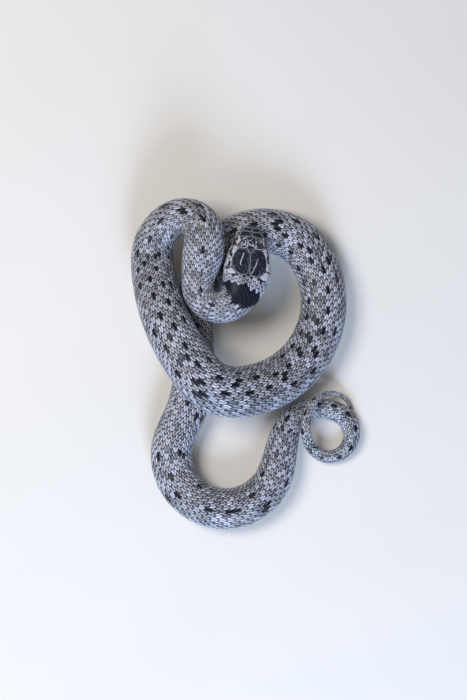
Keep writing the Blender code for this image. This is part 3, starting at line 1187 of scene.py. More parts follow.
@dataclass
class Skin:
    """The snake's skin, whole from the snout to the tail tip.

    Attributes:
        backbone, markings: What it follows, and what colours it.
        name: The piece's name.
        surface: Its grid of points.
        piece: Its object, once built.
        end_depth: Depth of the points that close its ends.
        tone: The tint and the warmth of the skin between the scales.
        head_end: Where the smooth skin under the head's shields ends.
    """

    backbone: Backbone
    markings: Markings
    name: str = "skin"
    end_depth: float = 0.1
    tone: float = 0.3
    head_end: tuple[float, float] = (13.0, 14.0)
    surface: Surface = field(init=False)
    piece: bpy.types.Object = field(init=False)

    def __post_init__(self) -> None:
        """Spread the grid: finest on the head and by the lips."""
        at = np.concatenate([
            snout_rings(6),
            np.arange(0.0, FINE_RINGS_END, HEAD_RING_GAP),
            np.arange(FINE_RINGS_END, TAIL_ROOT, BODY_RING_GAP),
            np.arange(TAIL_ROOT, self.backbone.length, TAIL_RING_GAP),
            [self.backbone.length],
        ])  # fmt: skip
        self.surface = Surface(self.backbone, at, girth_grid())

    def build(self) -> bpy.types.Object:
        """Make the mesh, with its places as attributes, and close its ends.

        Returns:
            The piece.
        """
        grid = self.surface.points[:, :-1]
        rows, columns = grid.shape[:2]
        middles = np.stack([grid[0].mean(axis=0), grid[-1].mean(axis=0)])
        points = np.concatenate([grid.reshape(-1, 3), middles])
        mesh = plain_mesh(self.name, points, tube_faces(rows, columns))
        at = np.append(np.repeat(self.surface.at, columns), self.surface.at[[0, -1]])
        turn = np.append(self.surface.turn[:, :-1].ravel(), [0.5, 0.5])
        self._maps(mesh, at, turn)
        depth = np.append(np.repeat(self.surface.depth, columns), [self.end_depth] * 2)
        put(mesh, "depth", depth * MM)
        put(mesh, "spot", self.markings.spots(at, turn))
        put(mesh, "cream", self.markings.cream(turn))
        # On the body the skin between the scales takes the dark base colour: partly its own dark tone, partly
        # painted shade
        on_head = 1.0 - ramp(at, *self.head_end)
        even = {"tint": self.tone, "along": on_head, "rim": 1.0 - on_head, "warm": self.tone}
        for name, value in even.items():
            put(mesh, name, np.broadcast_to(value, at.shape))
        self.piece = new_piece(self.name, mesh, ScaleFinish("bare_skin", pale=(0.30, 0.32, 0.38)).material())
        return self.piece

    @staticmethod
    def _maps(mesh: bpy.types.Mesh, at: Array, turn: Array) -> None:
        """Give each face corner its place along and round, with the seam under the belly.

        Args:
            mesh: The skin's mesh.
            at, turn: Its points' places along the body and round it.
        """
        index = corner_points(mesh)
        along, round_ = at[index], turn[index]
        starts = np.zeros(len(mesh.polygons), dtype=np.int32)
        totals = np.zeros(len(mesh.polygons), dtype=np.int32)
        mesh.polygons.foreach_get("loop_start", starts)
        mesh.polygons.foreach_get("loop_total", totals)
        face = np.repeat(np.arange(len(totals)), totals)
        highest = np.maximum.reduceat(round_, starts)[face]
        across = np.minimum(np.where((highest > 0.7) & (round_ < 0.3), round_ + 1.0, round_), 1.0)
        put_map(mesh, "Lattice", np.stack([(along - LATTICE_START) / LATTICE_LENGTH, across], axis=1))
        band = band_of(np.add.reduceat(along, starts)[face] / totals[face])
        u = np.clip((along - band * BAND_MM) / BAND_MM, 0.0, 1.0)
        put_map(mesh, "OFBake", np.stack([u, (band + across * BAND_FILL) / BANDS], axis=1))


# The Lattice map: shares of the skin's length and of the way round it
LATTICE_START = -SNOUT_CAP
LATTICE_LENGTH = 352.0 + SNOUT_CAP


def snout_rings(count: int) -> Array:
    """Places of the rings that round off the snout's blunt front."""
    return -SNOUT_CAP * np.cos(np.linspace(0.0, math.pi / 2.0, count + 1)[:-1])


def girth_grid() -> Array:
    """List the girths of the skin's lines, closer together by the lips.

    Returns:
        The girths, from the belly round to the belly again.
    """
    upper, lower = np.linspace(0.0, 1.0, UPPER_FACES + 1), np.linspace(1.0, 2.0, LOWER_FACES + 1)
    half = np.unique(np.round(np.concatenate([upper, 1.0 - LIP_LINES, 1.0 + LIP_LINES, lower]), 6))
    return np.concatenate([-half[::-1], half[1:]])


# ---------------------------------------------------------------- scales


@dataclass(frozen=True)
class ScaleShape:
    """Outline and relief of one scale, in shares of the pitch and of the row spacing.

    Attributes:
        root, tip: Where it starts and ends along the body, in pitches from its own root.
        width: Greatest width in row spacings.
        point: How pointed its tip is: 0 for round, 1 for a sharp lance.
        dome: How far its middle stands over its sides.
        along, across: Faces of its top each way.
        square: 0 for a round outline, 1 for a straight-sided one.
    """

    # The faces crowd towards the edge by this power
    CROWD: ClassVar[float] = 0.62
    # Heights of the top at the root and from there to the tip, and of the underside
    ROOT_HEIGHT: ClassVar[float] = 0.26
    TIP_RISE: ClassVar[float] = 0.66
    UNDERSIDE: ClassVar[float] = -0.25

    root: float = -0.35
    tip: float = 1.20
    width: float = 1.20
    point: float = 0.55
    dome: float = 0.26
    along: int = 8
    across: int = 6
    square: float = 0.0

    def object(self, name: str) -> bpy.types.Object:
        """Build the scale as a closed solid that the rows are made from.

        Args:
            name: The object's name.

        Returns:
            The object.
        """
        lines = (np.linspace(-1, 1, count + 1) for count in (self.along, self.across))
        x, y = np.meshgrid(*(np.sign(line) * np.abs(line) ** self.CROWD for line in lines), indexing="ij")
        round_x = x * np.sqrt(1.0 - y * y / 2.0)
        round_y = y * np.sqrt(1.0 - x * x / 2.0)
        u = round_x + (x - round_x) * self.square
        w = round_y + (y - round_y) * self.square
        edge = np.maximum(np.abs(x), np.abs(y))
        share = (u + 1.0) / 2.0
        w = w * (1.0 - self.point * ramp(share, 0.45, 1.05) * share)
        rise = self.ROOT_HEIGHT + self.TIP_RISE * share
        height = np.where(edge > 0.999, self.UNDERSIDE, rise - self.dome * rise * w * w)
        top = np.stack([self.root + (self.tip - self.root) * share, w * self.width / 2.0, height], axis=-1)
        rows, columns = top.shape[:2]
        faces = grid_faces(rows, columns, closed=False)
        ring = [i * columns for i in range(rows)]
        ring += [(rows - 1) * columns + j for j in range(1, columns)]
        ring += [i * columns + columns - 1 for i in range(rows - 2, -1, -1)]
        ring += [j for j in range(columns - 2, 0, -1)]
        faces.append(ring[::-1])
        mesh = plain_mesh(name, top.reshape(-1, 3) / MM, faces)
        for attribute, values in (("along", share), ("across", w), ("rim", 1.0 - edge)):
            put(mesh, attribute, values)
        return in_scene(name, mesh)


class ScaleRows:
    """The Geometry Nodes tree that lays rows of scales on the skin.

    Attributes:
        tree: The node tree.
        sockets: The identifiers of its inputs, by name.
    """

    INPUTS = (
        "Scale", "Finish", "First", "Pitch", "Count", "Rows", "First Row", "Outer Row", "Centre", "Spread",
        "Drop A", "Drop A From", "Drop A To", "Drop B", "Drop B From", "Drop B To", "Edge", "Edge Slant",
        "Last", "Thickness", "Seed", "Ease", "Ease Reach",
    )  # fmt: skip
    # Inputs that aren't plain numbers
    KINDS = {"Scale": "Object", "Finish": "Material", "Count": "Int", "Rows": "Int", "Seed": "Int"}
    JITTER = 0.08
    LEAST_LEFT = 0.4

    def __init__(self) -> None:
        """Make the tree with its named inputs, and wire it."""
        self.tree = bpy.data.node_groups.new("scale_rows", "GeometryNodeTree")
        self.board = Board(self.tree)
        self._socket("Geometry", "Geometry")
        self.sockets = {name: self._socket(name, self.KINDS.get(name, "Float")) for name in self.INPUTS}
        self._socket("Geometry", "Geometry", "OUTPUT")
        self.given = self.board.node("NodeGroupInput")
        bent = self._bend(self._scales(self._cloud()))
        finished = self._geometry("SetMaterial", {"Geometry": bent, "Material": self.given.wire("Finish")})
        self.board.node("NodeGroupOutput", None, {"Geometry": finished})

    def _socket(self, name: str, kind: str, way: str = "INPUT") -> str:
        """Add an input or output to the tree, and tell its identifier."""
        interface = self.tree.interface
        return interface.new_socket(name, in_out=way, socket_type=f"NodeSocket{kind}").identifier

    def _geometry(self, kind: str, inputs: Mapping[str | int, object], **settings: str) -> Wire:
        """Add a geometry node, and give the wire from it."""
        return self.board.node(f"GeometryNode{kind}", settings, inputs).wire()

    def _read(self, name: str, kind: str = "FLOAT") -> Wire:
        """Read what is kept on each point."""
        return self._geometry("InputNamedAttribute", {"Name": name}, data_type=kind)

    def _less(self, low: Wire, high: Wire | float) -> Wire:
        """True where the first number is the smaller."""
        settings = {"data_type": "FLOAT", "operation": "LESS_THAN"}
        return self.board.node("FunctionNodeCompare", settings, {0: low, 1: high}).wire()

    def _share(self, at: Wire, drop: str) -> Wire:
        """Work out how much of a pair of rows is left at a place.

        Args:
            at: The place along the body.
            drop: The name of the drop where the pair ends.

        Returns:
            A share from 1 before the drop to 0 after it.
        """
        low, high = self.given.wire(f"{drop} From"), self.given.wire(f"{drop} To")
        inputs = {"Value": at, 1: low, 2: high, 3: 1.0, 4: 0.0}
        return self.board.node("ShaderNodeMapRange", {"interpolation_type": "SMOOTHSTEP"}, inputs).wire()

    def _cloud(self) -> Wire:
        """Lay a point for each scale on the flat layout, its place along as X and round as Y.

        Returns:
            The points, with the size and the markings' places kept on them.
        """
        board, given = self.board, self.given
        rows = given.wire("Rows")
        index = board.node("GeometryNodeInputIndex").wire()
        row = index % rows + given.wire("First Row")
        step = (index / rows).floor()
        odd = (row + 0.5).floor() % 2.0
        seeds = {"ID": index, "Seed": given.wire("Seed")}
        chance = board.node("FunctionNodeRandomValue", {"data_type": "FLOAT"}, seeds).wire("Value")
        jitter = (chance - 0.5) * self.JITTER
        reach, ease = given.wire("Ease Reach"), given.wire("Ease")
        grown = ((step + odd * 0.5 + jitter) * given.wire("Pitch") / reach).exp()
        gone = (ease + (1.0 - ease) * grown).log()
        at = given.wire("First") + gone * reach
        pitch = given.wire("Pitch") * (1.0 - ease / gone.exp())
        away = abs(row)
        kept, packed, total = None, away, given.wire("Outer Row") * 2.0 + 1.0
        for drop in ("Drop A", "Drop B"):
            share = self._share(at, drop)
            after = (away - given.wire(drop) + 0.5).clip(0.0, 2.0)
            packed = packed - (1.0 - share) * after
            total = total - (1.0 - share) * 4.0
            inside = after.sign() * (1.0 - (away - given.wire(drop) - 1.4).clip(0.0, 1.0).sign())
            own = 1.0 - inside * (1.0 - share)
            kept = own if kept is None else kept * own
        unit = given.wire("Spread") / total
        turn = given.wire("Centre") + row.sign() * packed * unit
        edge = given.wire("Edge") + given.wire("Edge Slant") * away * away
        points = self._geometry("Points", {"Count": given.wire("Count") * rows})
        cloud = self._geometry("SetPosition", {"Geometry": points, "Position": board.vector(at, turn, 0.0)})
        stored = {"place": at, "turn": turn, "tint": chance, "own": kept, "unit": unit, "pitch": pitch}
        for name, value in (*stored.items(), ("edge", edge)):
            inputs = {"Geometry": cloud, "Name": name, "Value": value}
            cloud = self._geometry("StoreNamedAttribute", inputs, data_type="FLOAT", domain="POINT")
        own, place = self._read("own"), self._read("place")
        for low, high in ((own, self.LEAST_LEFT), (place, self._read("edge")), (given.wire("Last"), place)):
            inputs = {"Geometry": cloud, "Selection": self._less(low, high)}
            cloud = self._geometry("DeleteGeometry", inputs, domain="POINT")
        return cloud

    def _scales(self, cloud: Wire) -> Wire:
        """Put a scale of its own size on each point.

        Args:
            cloud: The points on the flat layout.

        Returns:
            The scales, as real mesh.
        """
        wanted = {"Object": self.given.wire("Scale")}
        info = self.board.node("GeometryNodeObjectInfo", {"transform_space": "ORIGINAL"}, wanted)
        size = self.board.vector(self._read("pitch"), self._read("unit") * self._read("own"), 1.0)
        inputs = {"Points": cloud, "Instance": info.wire("Geometry"), "Scale": size}
        return self._geometry("RealizeInstances", {"Geometry": self._geometry("InstanceOnPoints", inputs)})

    def _bend(self, scales: Wire) -> Wire:
        """Take the flat layout round the skin, each point at its height over it.

        Args:
            scales: The scales on the flat layout.

        Returns:
            The scales on the skin.
        """
        board, given = self.board, self.given
        flat = board.node("GeometryNodeInputPosition").wire()
        split = board.node("ShaderNodeSeparateXYZ", None, {"Vector": flat})
        share = (split.wire("X") - LATTICE_START) / LATTICE_LENGTH
        spot = board.vector(share.clip(0.0, 1.0), split.wire("Y") % 1.0, 0.0)
        lattice = self._read("Lattice", "FLOAT_VECTOR")

        def sample(kind: str, value: Wire) -> Wire:
            """Read a value of the skin at the point's place on it.

            Args:
                kind: The value's data type.
                value: The value.

            Returns:
                What it is there.
            """
            part = board.node("GeometryNodeSampleUVSurface", {"data_type": kind})
            names = {socket.name: socket for socket in part.node.inputs if socket.enabled}
            source = "UV Map" if "UV Map" in names else "Source UV Map"
            wires = {"Mesh": given.wire("Geometry"), "Value": value, source: lattice, "Sample UV": spot}
            for name, wire in wires.items():
                board.tree.links.new(wire.socket, names[name])
            return part.wire()

        on_skin = sample("FLOAT_VECTOR", flat)
        outward = sample("FLOAT_VECTOR", board.node("GeometryNodeInputNormal").wire())
        height = split.wire("Z") * sample("FLOAT", self._read("depth")) * given.wire("Thickness")
        inputs = {0: outward, "Scale": height}
        raised = board.node("ShaderNodeVectorMath", {"operation": "SCALE"}, inputs).wire()
        place = board.node("ShaderNodeVectorMath", {"operation": "ADD"}, {0: on_skin, 1: raised}).wire()
        return self._geometry("SetPosition", {"Geometry": scales, "Position": place})


# A pair of rows that never runs out: its number and places lie past the body
NO_DROP = (500.0, 900.0, 901.0)
SPARE_SCALES = 12
# Where a scale's middle is, in pitches from its root
SCALE_MIDDLE = 0.45


@dataclass
class Coat:
    """A piece of the coat: some of the rows of scales along one stretch of the body.

    Attributes:
        name: The piece's name.
        shape: The scale its rows are made of.
        start, end: The stretch of body.
        pitch: From one scale to the next in a row.
        outer_row: Number of the outermost row, counted from the middle row 0.
        low_row, high_row: The rows of this piece.
        centre, spread: The turn at the middle row, and the share of the way round that all rows take.
        drops: Up to two pairs of rows that run out: the first row's number, and where from and to.
        edge_slant: How fast the front edge draws back from the middle row outwards.
        thickness: Height of the scales in coat depths.
        slot: Its slot in the record.
        seed: Chooses the scales' own random numbers.
        patch: Size of a scale's patch on the bake map.
        edge: Where the front edge is on the middle row; None for the start of the stretch.
        ease, ease_reach: The pitch starts smaller by this share, and grows to full over the reach.
    """

    name: str
    shape: ScaleShape
    start: float
    end: float
    pitch: float
    outer_row: float
    low_row: float
    high_row: float
    centre: float = 0.5
    spread: float = 0.69
    drops: Sequence[tuple[float, float, float]] = ()
    edge_slant: float = 0.0
    thickness: float = 0.8
    slot: Slot = Slot.BACK
    seed: int = SEED
    patch: float = 0.0032
    edge: float | None = None
    ease: float = 0.44
    ease_reach: float = 16.0

    def build(self, skin: Skin, rows: ScaleRows, finish: bpy.types.Material) -> bpy.types.Object:
        """Lay the rows, make them a plain mesh, and give the mesh its markings and bake map.

        Args:
            skin: The finished skin, which the scales lie on.
            rows: The tree that lays them.
            finish: Their material.

        Returns:
            The piece.
        """
        template = self.shape.object(f"{self.name}_one")
        template.hide_render = True
        piece = in_scene(self.name, skin.piece.data)
        modifier = piece.modifiers.new("scale_rows", "NODES")
        modifier.node_group = rows.tree
        values = {
            "Scale": template, "Finish": finish, "First": self.start, "Pitch": self.pitch,
            "Count": int((self.end - self.start) / self.pitch) + SPARE_SCALES,
            "Rows": int(round(self.high_row - self.low_row)) + 1, "First Row": self.low_row,
            "Outer Row": self.outer_row, "Centre": self.centre, "Spread": self.spread,
            "Edge": self.start if self.edge is None else self.edge, "Edge Slant": self.edge_slant,
            "Last": self.end, "Thickness": self.thickness, "Seed": self.seed, "Ease": self.ease,
            "Ease Reach": self.ease_reach,
        }  # fmt: skip
        for letter, drop in zip("AB", (*self.drops, NO_DROP, NO_DROP)):
            values |= zip((f"Drop {letter}", f"Drop {letter} From", f"Drop {letter} To"), drop)
        for name, value in values.items():
            modifier[rows.sockets[name]] = value
        graph = bpy.context.evaluated_depsgraph_get()
        laid = piece.evaluated_get(graph)
        mesh = bpy.data.meshes.new_from_object(laid, preserve_all_data_layers=True, depsgraph=graph)
        piece.modifiers.remove(modifier)
        piece.data = mesh
        mesh.name = self.name
        bpy.data.objects.remove(template, do_unlink=True)
        self._mark(mesh, skin.markings)
        return piece

    def _mark(self, mesh: bpy.types.Mesh, markings: Markings) -> None:
        """Store the markings, the same on each whole scale, and its patch on the bake map.

        Args:
            mesh: The piece's mesh, with what the rows' tree has kept on its points.
            markings: What colours it.
        """
        root, turn = got(mesh, "place"), np.mod(got(mesh, "turn"), 1.0)
        middle = root + SCALE_MIDDLE * got(mesh, "pitch")
        spots = markings.spots(middle, turn)
        if self.shape.square > 0.0:
            spots = np.maximum(spots, markings.chequers(root, got(mesh, "across"), self.pitch))
        put(mesh, "spot", spots)
        nape = markings.pale(middle, turn)
        put(mesh, "cream", markings.cream(turn))
        put(mesh, "warm", markings.warm(middle, turn) * (1.0 - nape))
        put(mesh, "tint", got(mesh, "tint") * (0.9 - 0.3 * nape) + 0.05 + 0.42 * nape)
        u, v = folded(root, turn)
        u = u + (got(mesh, "along") - 0.5) * self.patch
        v = v + got(mesh, "across") * self.patch / 2.0
        index = corner_points(mesh)
        put_map(mesh, "OFBake", np.clip(np.stack([u[index], v[index]], axis=1), 0.0, 1.0))
        for name in ("own", "unit", "edge", "pitch"):
            mesh.attributes.remove(mesh.attributes[name])
        mesh.shade_smooth()


# ---------------------------------------------------------------- the head


class Tone(Enum):
    """How a shield is coloured: its share of dark, and the shares of peach and of cream under that."""

    CROWN = (0.92, 0.0, 0.0)
    BROW = (0.62, 0.15, 0.0)
    SNOUT = (0.97, 0.12, 0.0)
    CHEEK = (0.22, 0.18, 0.0)
    LIP = (0.08, 0.45, 0.0)
    LOWER_LIP = (0.05, 0.8, 0.45)
    CHIN = (0.0, 0.5, 0.9)


@dataclass(frozen=True)
class Shield:
    """One shield of the head.

    Attributes:
        name: What it is called.
        tone: Its colouring.
        outline: Its corners, as places and girths on the snake's right, or from right to left.
        paired: True where the left side has its mirror image.
        rise: Height of its flat part over the skin, in mm.
    """

    name: str
    tone: Tone
    outline: tuple[tuple[float, float], ...]
    paired: bool = True
    rise: float = 0.11


def lip_shields() -> list[Shield]:
    """Lay out the eight shields along the upper lip and the eight along the lower one.

    Returns:
        The shields, from front to back.
    """
    upper = (0.50, 1.45, 2.35, 3.25, 4.35, 5.45, 7.3, 9.7, 12.5)
    tops = (0.82, 0.81, 0.80, 0.82, 0.87, 0.86, 0.80, 0.78, 0.82)
    lower = (0.45, 1.3, 2.2, 3.3, 4.7, 6.5, 8.5, 10.5, 12.7)
    depths = (1.40, 1.45, 1.42, 1.34, 1.32, 1.30, 1.28, 1.26, 1.2)
    found = []
    for i in range(8):
        lean = 0.12 + 0.03 * i
        a, b = upper[i], upper[i + 1]
        corners = ((a, 0.995), (a + lean * 0.5, tops[i]), (b + lean * 0.5, tops[i + 1]), (b, 0.995))
        found.append(Shield(f"upper_lip_{i + 1}", Tone.LIP, corners))
        a, b = lower[i], lower[i + 1]
        corners = ((a, 1.015), (b, 1.015), (b + lean, depths[i + 1]), (a + lean, depths[i]))
        found.append(Shield(f"lower_lip_{i + 1}", Tone.LOWER_LIP, corners))
    return found


SHIELDS = (
    Shield("rostral", Tone.SNOUT, (
        (-0.297, 0.985), (0.42, 0.985), (0.50, 0.80), (0.55, 0.50), (0.72, 0.0), (0.55, -0.50),
        (0.50, -0.80), (0.42, -0.985), (-0.297, -0.985), (-0.297, -0.5), (-0.297, 0.0),
        (-0.297, 0.5)), False),
    Shield("internasal", Tone.SNOUT, ((0.76, 0.01), (0.60, 0.50), (1.1, 0.56), (1.75, 0.44), (1.95, 0.01))),
    Shield("nasal", Tone.SNOUT, (
        (0.60, 0.54), (0.54, 0.80), (1.3, 0.80), (1.95, 0.79), (1.96, 0.54), (1.75, 0.47), (1.15, 0.585))),
    Shield("prefrontal", Tone.SNOUT, (
        (1.97, 0.01), (1.80, 0.45), (2.0, 0.53), (3.05, 0.53), (3.33, 0.46), (3.24, 0.17), (3.12, 0.01))),
    Shield("loreal", Tone.SNOUT, ((2.0, 0.55), (2.0, 0.785), (3.0, 0.79), (3.05, 0.55))),
    Shield("frontal", Tone.CROWN, (
        (3.16, 0.0), (3.28, 0.18), (4.7, 0.165), (6.3, 0.125), (7.1, 0.075), (7.75, 0.0),
        (7.1, -0.075), (6.3, -0.125), (4.7, -0.165), (3.28, -0.18)), False),
    Shield("supraocular", Tone.BROW, (
        (3.32, 0.195), (3.40, 0.46), (3.9, 0.54), (4.6, 0.575), (5.45, 0.55), (6.1, 0.47),
        (6.4, 0.32), (6.35, 0.14), (4.8, 0.18)), rise=0.17),
    Shield("preocular", Tone.CHEEK, (
        (3.08, 0.55), (3.05, 0.79), (3.62, 0.82), (3.56, 0.71), (3.68, 0.59), (3.78, 0.54), (3.38, 0.48))),
    Shield("upper_postocular", Tone.CHEEK, (
        (5.62, 0.57), (5.72, 0.70), (6.5, 0.68), (6.72, 0.50), (6.55, 0.38), (6.2, 0.48))),
    Shield("lower_postocular", Tone.CHEEK, ((5.72, 0.715), (5.55, 0.85), (6.3, 0.81), (6.5, 0.695))),
    Shield("parietal", Tone.CROWN, (
        (7.82, 0.01), (7.15, 0.09), (6.45, 0.15), (6.48, 0.29), (6.95, 0.43), (7.8, 0.505), (9.0, 0.54),
        (10.6, 0.525), (12.0, 0.455), (13.0, 0.33), (13.45, 0.20), (13.2, 0.07), (12.5, 0.01))),
    Shield("front_temporal", Tone.CHEEK, (
        (6.66, 0.54), (6.55, 0.70), (6.45, 0.80), (7.6, 0.785), (8.9, 0.77), (9.1, 0.66), (8.9, 0.555),
        (7.75, 0.52), (6.95, 0.45))),
    Shield("upper_rear_temporal", Tone.CHEEK, (
        (9.0, 0.56), (9.2, 0.665), (11.4, 0.665), (11.7, 0.59), (11.3, 0.53), (10.4, 0.55))),
    Shield("lower_rear_temporal", Tone.CHEEK, (
        (9.2, 0.68), (9.0, 0.775), (10.2, 0.775), (11.6, 0.80), (11.9, 0.73), (11.4, 0.68))),
    Shield("upper_last_temporal", Tone.CHEEK, (
        (11.75, 0.515), (11.9, 0.66), (13.4, 0.66), (13.7, 0.56), (13.2, 0.35), (12.5, 0.43))),
    Shield("lower_last_temporal", Tone.CHEEK, (
        (12.0, 0.68), (11.85, 0.80), (12.6, 0.83), (14.0, 0.83), (13.8, 0.68))),
    Shield("mental", Tone.CHIN, (
        (-0.297, 1.02), (0.38, 1.02), (0.62, 1.5), (0.80, 2.0), (0.62, 2.5), (0.38, 2.98), (-0.297, 2.98),
        (-0.297, 2.5), (-0.297, 2.0), (-0.297, 1.5)), False),
    Shield("front_chin", Tone.CHIN, (
        (1.1, 1.985), (1.3, 1.46), (3.3, 1.36), (4.5, 1.45), (4.95, 1.62), (4.95, 1.985))),
    Shield("rear_chin", Tone.CHIN, (
        (5.05, 1.985), (5.0, 1.64), (5.4, 1.55), (7.2, 1.66), (7.9, 1.82), (7.6, 1.985))),
)  # fmt: skip

# The nostril: its place and girth, how far from its middle the nasal shield is made of its rings,
# the rings' radii, and the height of its rim and depth of its opening
NOSTRIL = (1.18, 0.69)
NOSTRIL_REACH = 0.26
NOSTRIL_RINGS = (0.04, 0.09, 0.15, 0.22)
NOSTRIL_RIM = (0.05, 0.24, 0.1)
NOSTRIL_HOLE = (0.32, 0.0, 0.13)
SNOUT_ARC = 1.2
# A plate's rim starts this deep under the skin's surface, its underside lies deeper, and its middle
# swells; the brow stands out over the eye
PLATE_SUNK = 0.02
PLATE_UNDERSIDE = 0.12
PLATE_SWELL = 0.03
BROW_RISE = 0.13


@dataclass
class Head:
    """The shields of the head, as raised plates with rounded rims.

    Attributes:
        backbone, markings: What the head follows, and what colours it.
        name: The piece's name.
        gap: How far each plate is drawn in from its outline.
        bevel: Width of its rounded rim.
        step: From one of its points to the next.
        end, ring_gap, lines: Last place and spacing of the skin's rings that it lies on, and their lines.
        surface: The skin's grid of points under the plates.
    """

    backbone: Backbone
    markings: Markings
    name: str = "head_shields"
    gap: float = 0.02
    bevel: float = 0.11
    step: float = 0.14
    end: float = 16.6
    ring_gap: float = 0.06
    lines: int = 321
    surface: Surface = field(init=False)

    def __post_init__(self) -> None:
        """Read the skin's shape finely over the head."""
        at = np.concatenate([snout_rings(12), np.arange(0.0, self.end, self.ring_gap)])
        self.surface = Surface(self.backbone, at, np.linspace(-2.0, 2.0, self.lines))

    def build(self, material: bpy.types.Material) -> bpy.types.Object:
        """Make all the plates as one mesh with their attributes and bake map.

        Args:
            material: The shields' finish.

        Returns:
            The piece.
        """
        points: list[Array] = []
        faces: list[list[int]] = []
        stored: dict[str, list[Array]] = {}
        for shield in (*SHIELDS, *lip_shields()):
            for side in Side if shield.paired else (Side.RIGHT,):
                outline = np.array(shield.outline) * (1.0, side.value)
                if side is Side.LEFT:
                    outline = outline[::-1]
                flat, triangles, rim = self._plate(outline)
                shift = sum(len(part) for part in points)
                made, solid = self._raise(flat, triangles, rim, shield)
                points.append(made)
                faces += [[corner + shift for corner in face] for face in solid]
                for name, value in self._tones(flat, rim, shield).items():
                    stored.setdefault(name, []).append(np.tile(value, 2))
        mesh = plain_mesh(self.name, np.concatenate(points), faces)
        for name, parts in stored.items():
            put(mesh, name, np.concatenate(parts))
        self._bake_map(mesh, [len(part) for part in points])
        return new_piece(self.name, mesh, material)

    def _plate(self, outline: Array) -> tuple[Array, list[tuple[int, ...]], Array]:
        """Fill an outline with points and triangles.

        Args:
            outline: Corners as places and girths.

        Returns:
            Points as places and girths, triangles, and each point's distance from the rim in mm.
        """
        middle = outline.mean(axis=0)
        half = self._half_arc(middle[0], abs(middle[1]) > 1.0)
        scale = np.array((1.0, half))
        outline = np.stack([unrolled(outline[:, 0]), outline[:, 1]], axis=1)
        rim = rounded(outline * scale, self.gap)
        low, high = rim.min(axis=0), rim.max(axis=0)
        xs = np.arange(low[0], high[0], self.step)
        ys = np.arange(low[1], high[1], self.step * 0.87)
        grid = np.stack(np.meshgrid(xs, ys, indexing="ij"), axis=-1)
        grid[:, 1::2, 0] += self.step / 2.0
        rings = (inset(rim, self.bevel * share) for share in (0.35, 0.75, 1.25))
        inner = [ring for ring in rings if len(ring)]
        cloud = grid.reshape(-1, 2)
        if abs(middle[0] - NOSTRIL[0]) < 0.4 and 0.5 < abs(middle[1]) < 0.78:
            nostril = np.array((NOSTRIL[0], math.copysign(NOSTRIL[1], middle[1]))) * scale
            turns = np.linspace(0.0, 2.0 * math.pi, 12, endpoint=False)
            circle = np.stack([np.cos(turns), np.sin(turns)], axis=1)
            inner += [nostril + radius * circle for radius in NOSTRIL_RINGS]
            cloud = cloud[np.linalg.norm(cloud - nostril, axis=1) > NOSTRIL_REACH]
        cloud = np.concatenate([cloud[distance_inside(cloud, rim) > self.bevel * 1.25 + 0.05], *inner])
        cloud = np.concatenate([rim, cloud[distance_inside(cloud, rim) > 0.01]])
        edges = [(i, (i + 1) % len(rim)) for i in range(len(rim))]
        made = delaunay_2d_cdt([Vector(point) for point in cloud], edges, [], 1, 1e-5)
        flat = np.array([tuple(point) for point in made[0]])
        depth = np.maximum(distance_inside(flat, rim), 0.0)
        return np.stack([rolled(flat[:, 0]), flat[:, 1] / half], axis=1), made[2], depth

    def _half_arc(self, at: float, under: bool) -> float:
        """Half the length of the way over the head at a place, or under it."""
        return float(np.interp(at, self.surface.at, self.surface.half_arc[:, int(under)]))

    def _raise(
        self, flat: Array, triangles: Sequence[Sequence[int]], rim: Array, shield: Shield
    ) -> tuple[Array, list[list[int]]]:
        """Lay a filled outline over the skin as a closed plate with a rounded rim.

        Args:
            flat: Its points as places and girths.
            triangles: The triangles between them.
            rim: The points' distances from the rim.
            shield: The shield that it is.

        Returns:
            The plate's points, those of its top first, and its faces.
        """
        base, normal, _ = self.surface.read(flat[:, 0], flat[:, 1])
        arch = np.sqrt(np.clip(1.0 - (1.0 - np.clip(rim / self.bevel, 0.0, 1.0)) ** 2, 0.0, 1.0))
        height = -PLATE_SUNK + shield.rise * arch + PLATE_SWELL * ramp(rim, 0.1, 0.9)
        if shield.name == "supraocular":
            height += BROW_RISE * ramp(np.abs(flat[:, 1]), 0.36, 0.56) * ramp(rim, 0.0, 0.12)
        if shield.name == "nasal":
            round_ = (np.abs(flat[:, 1]) - NOSTRIL[1]) * self._half_arc(NOSTRIL[0], False)
            away = np.hypot(flat[:, 0] - NOSTRIL[0], round_)
            (raised, *ring), (sunk, *hole) = NOSTRIL_RIM, NOSTRIL_HOLE
            height += raised * bump(away, *ring) - sunk * bump(away, *hole)
        top = base + normal * height[:, None]
        bottom = base - normal * PLATE_UNDERSIDE
        count = len(flat)
        oriented = self._outwards(top, normal, triangles)
        used: dict[tuple[int, int], tuple[int, int]] = {}
        for face in oriented:
            for a, b in zip(face, (*face[1:], face[0])):
                key = (min(a, b), max(a, b))
                used[key] = (0, 0) if key in used else (a, b)
        walls = [[b, a, a + count, b + count] for a, b in used.values() if a != b]
        under = [[corner + count for corner in reversed(face)] for face in oriented]
        return np.concatenate([top, bottom]), [*oriented, *under, *walls]

    @staticmethod
    def _outwards(points: Array, normal: Array, triangles: Sequence[Sequence[int]]) -> list[list[int]]:
        """Wind triangles so that they face away from the skin.

        Args:
            points: The points they are on.
            normal: The skin's normals at the points.
            triangles: Their points.

        Returns:
            The same triangles, each the right way round.
        """
        found = []
        for face in triangles:
            a, b, c = (points[corner] for corner in face[:3])
            towards = float(np.cross(b - a, c - a) @ normal[face[0]])
            found.append(list(face) if towards > 0.0 else list(face[::-1]))
        return found

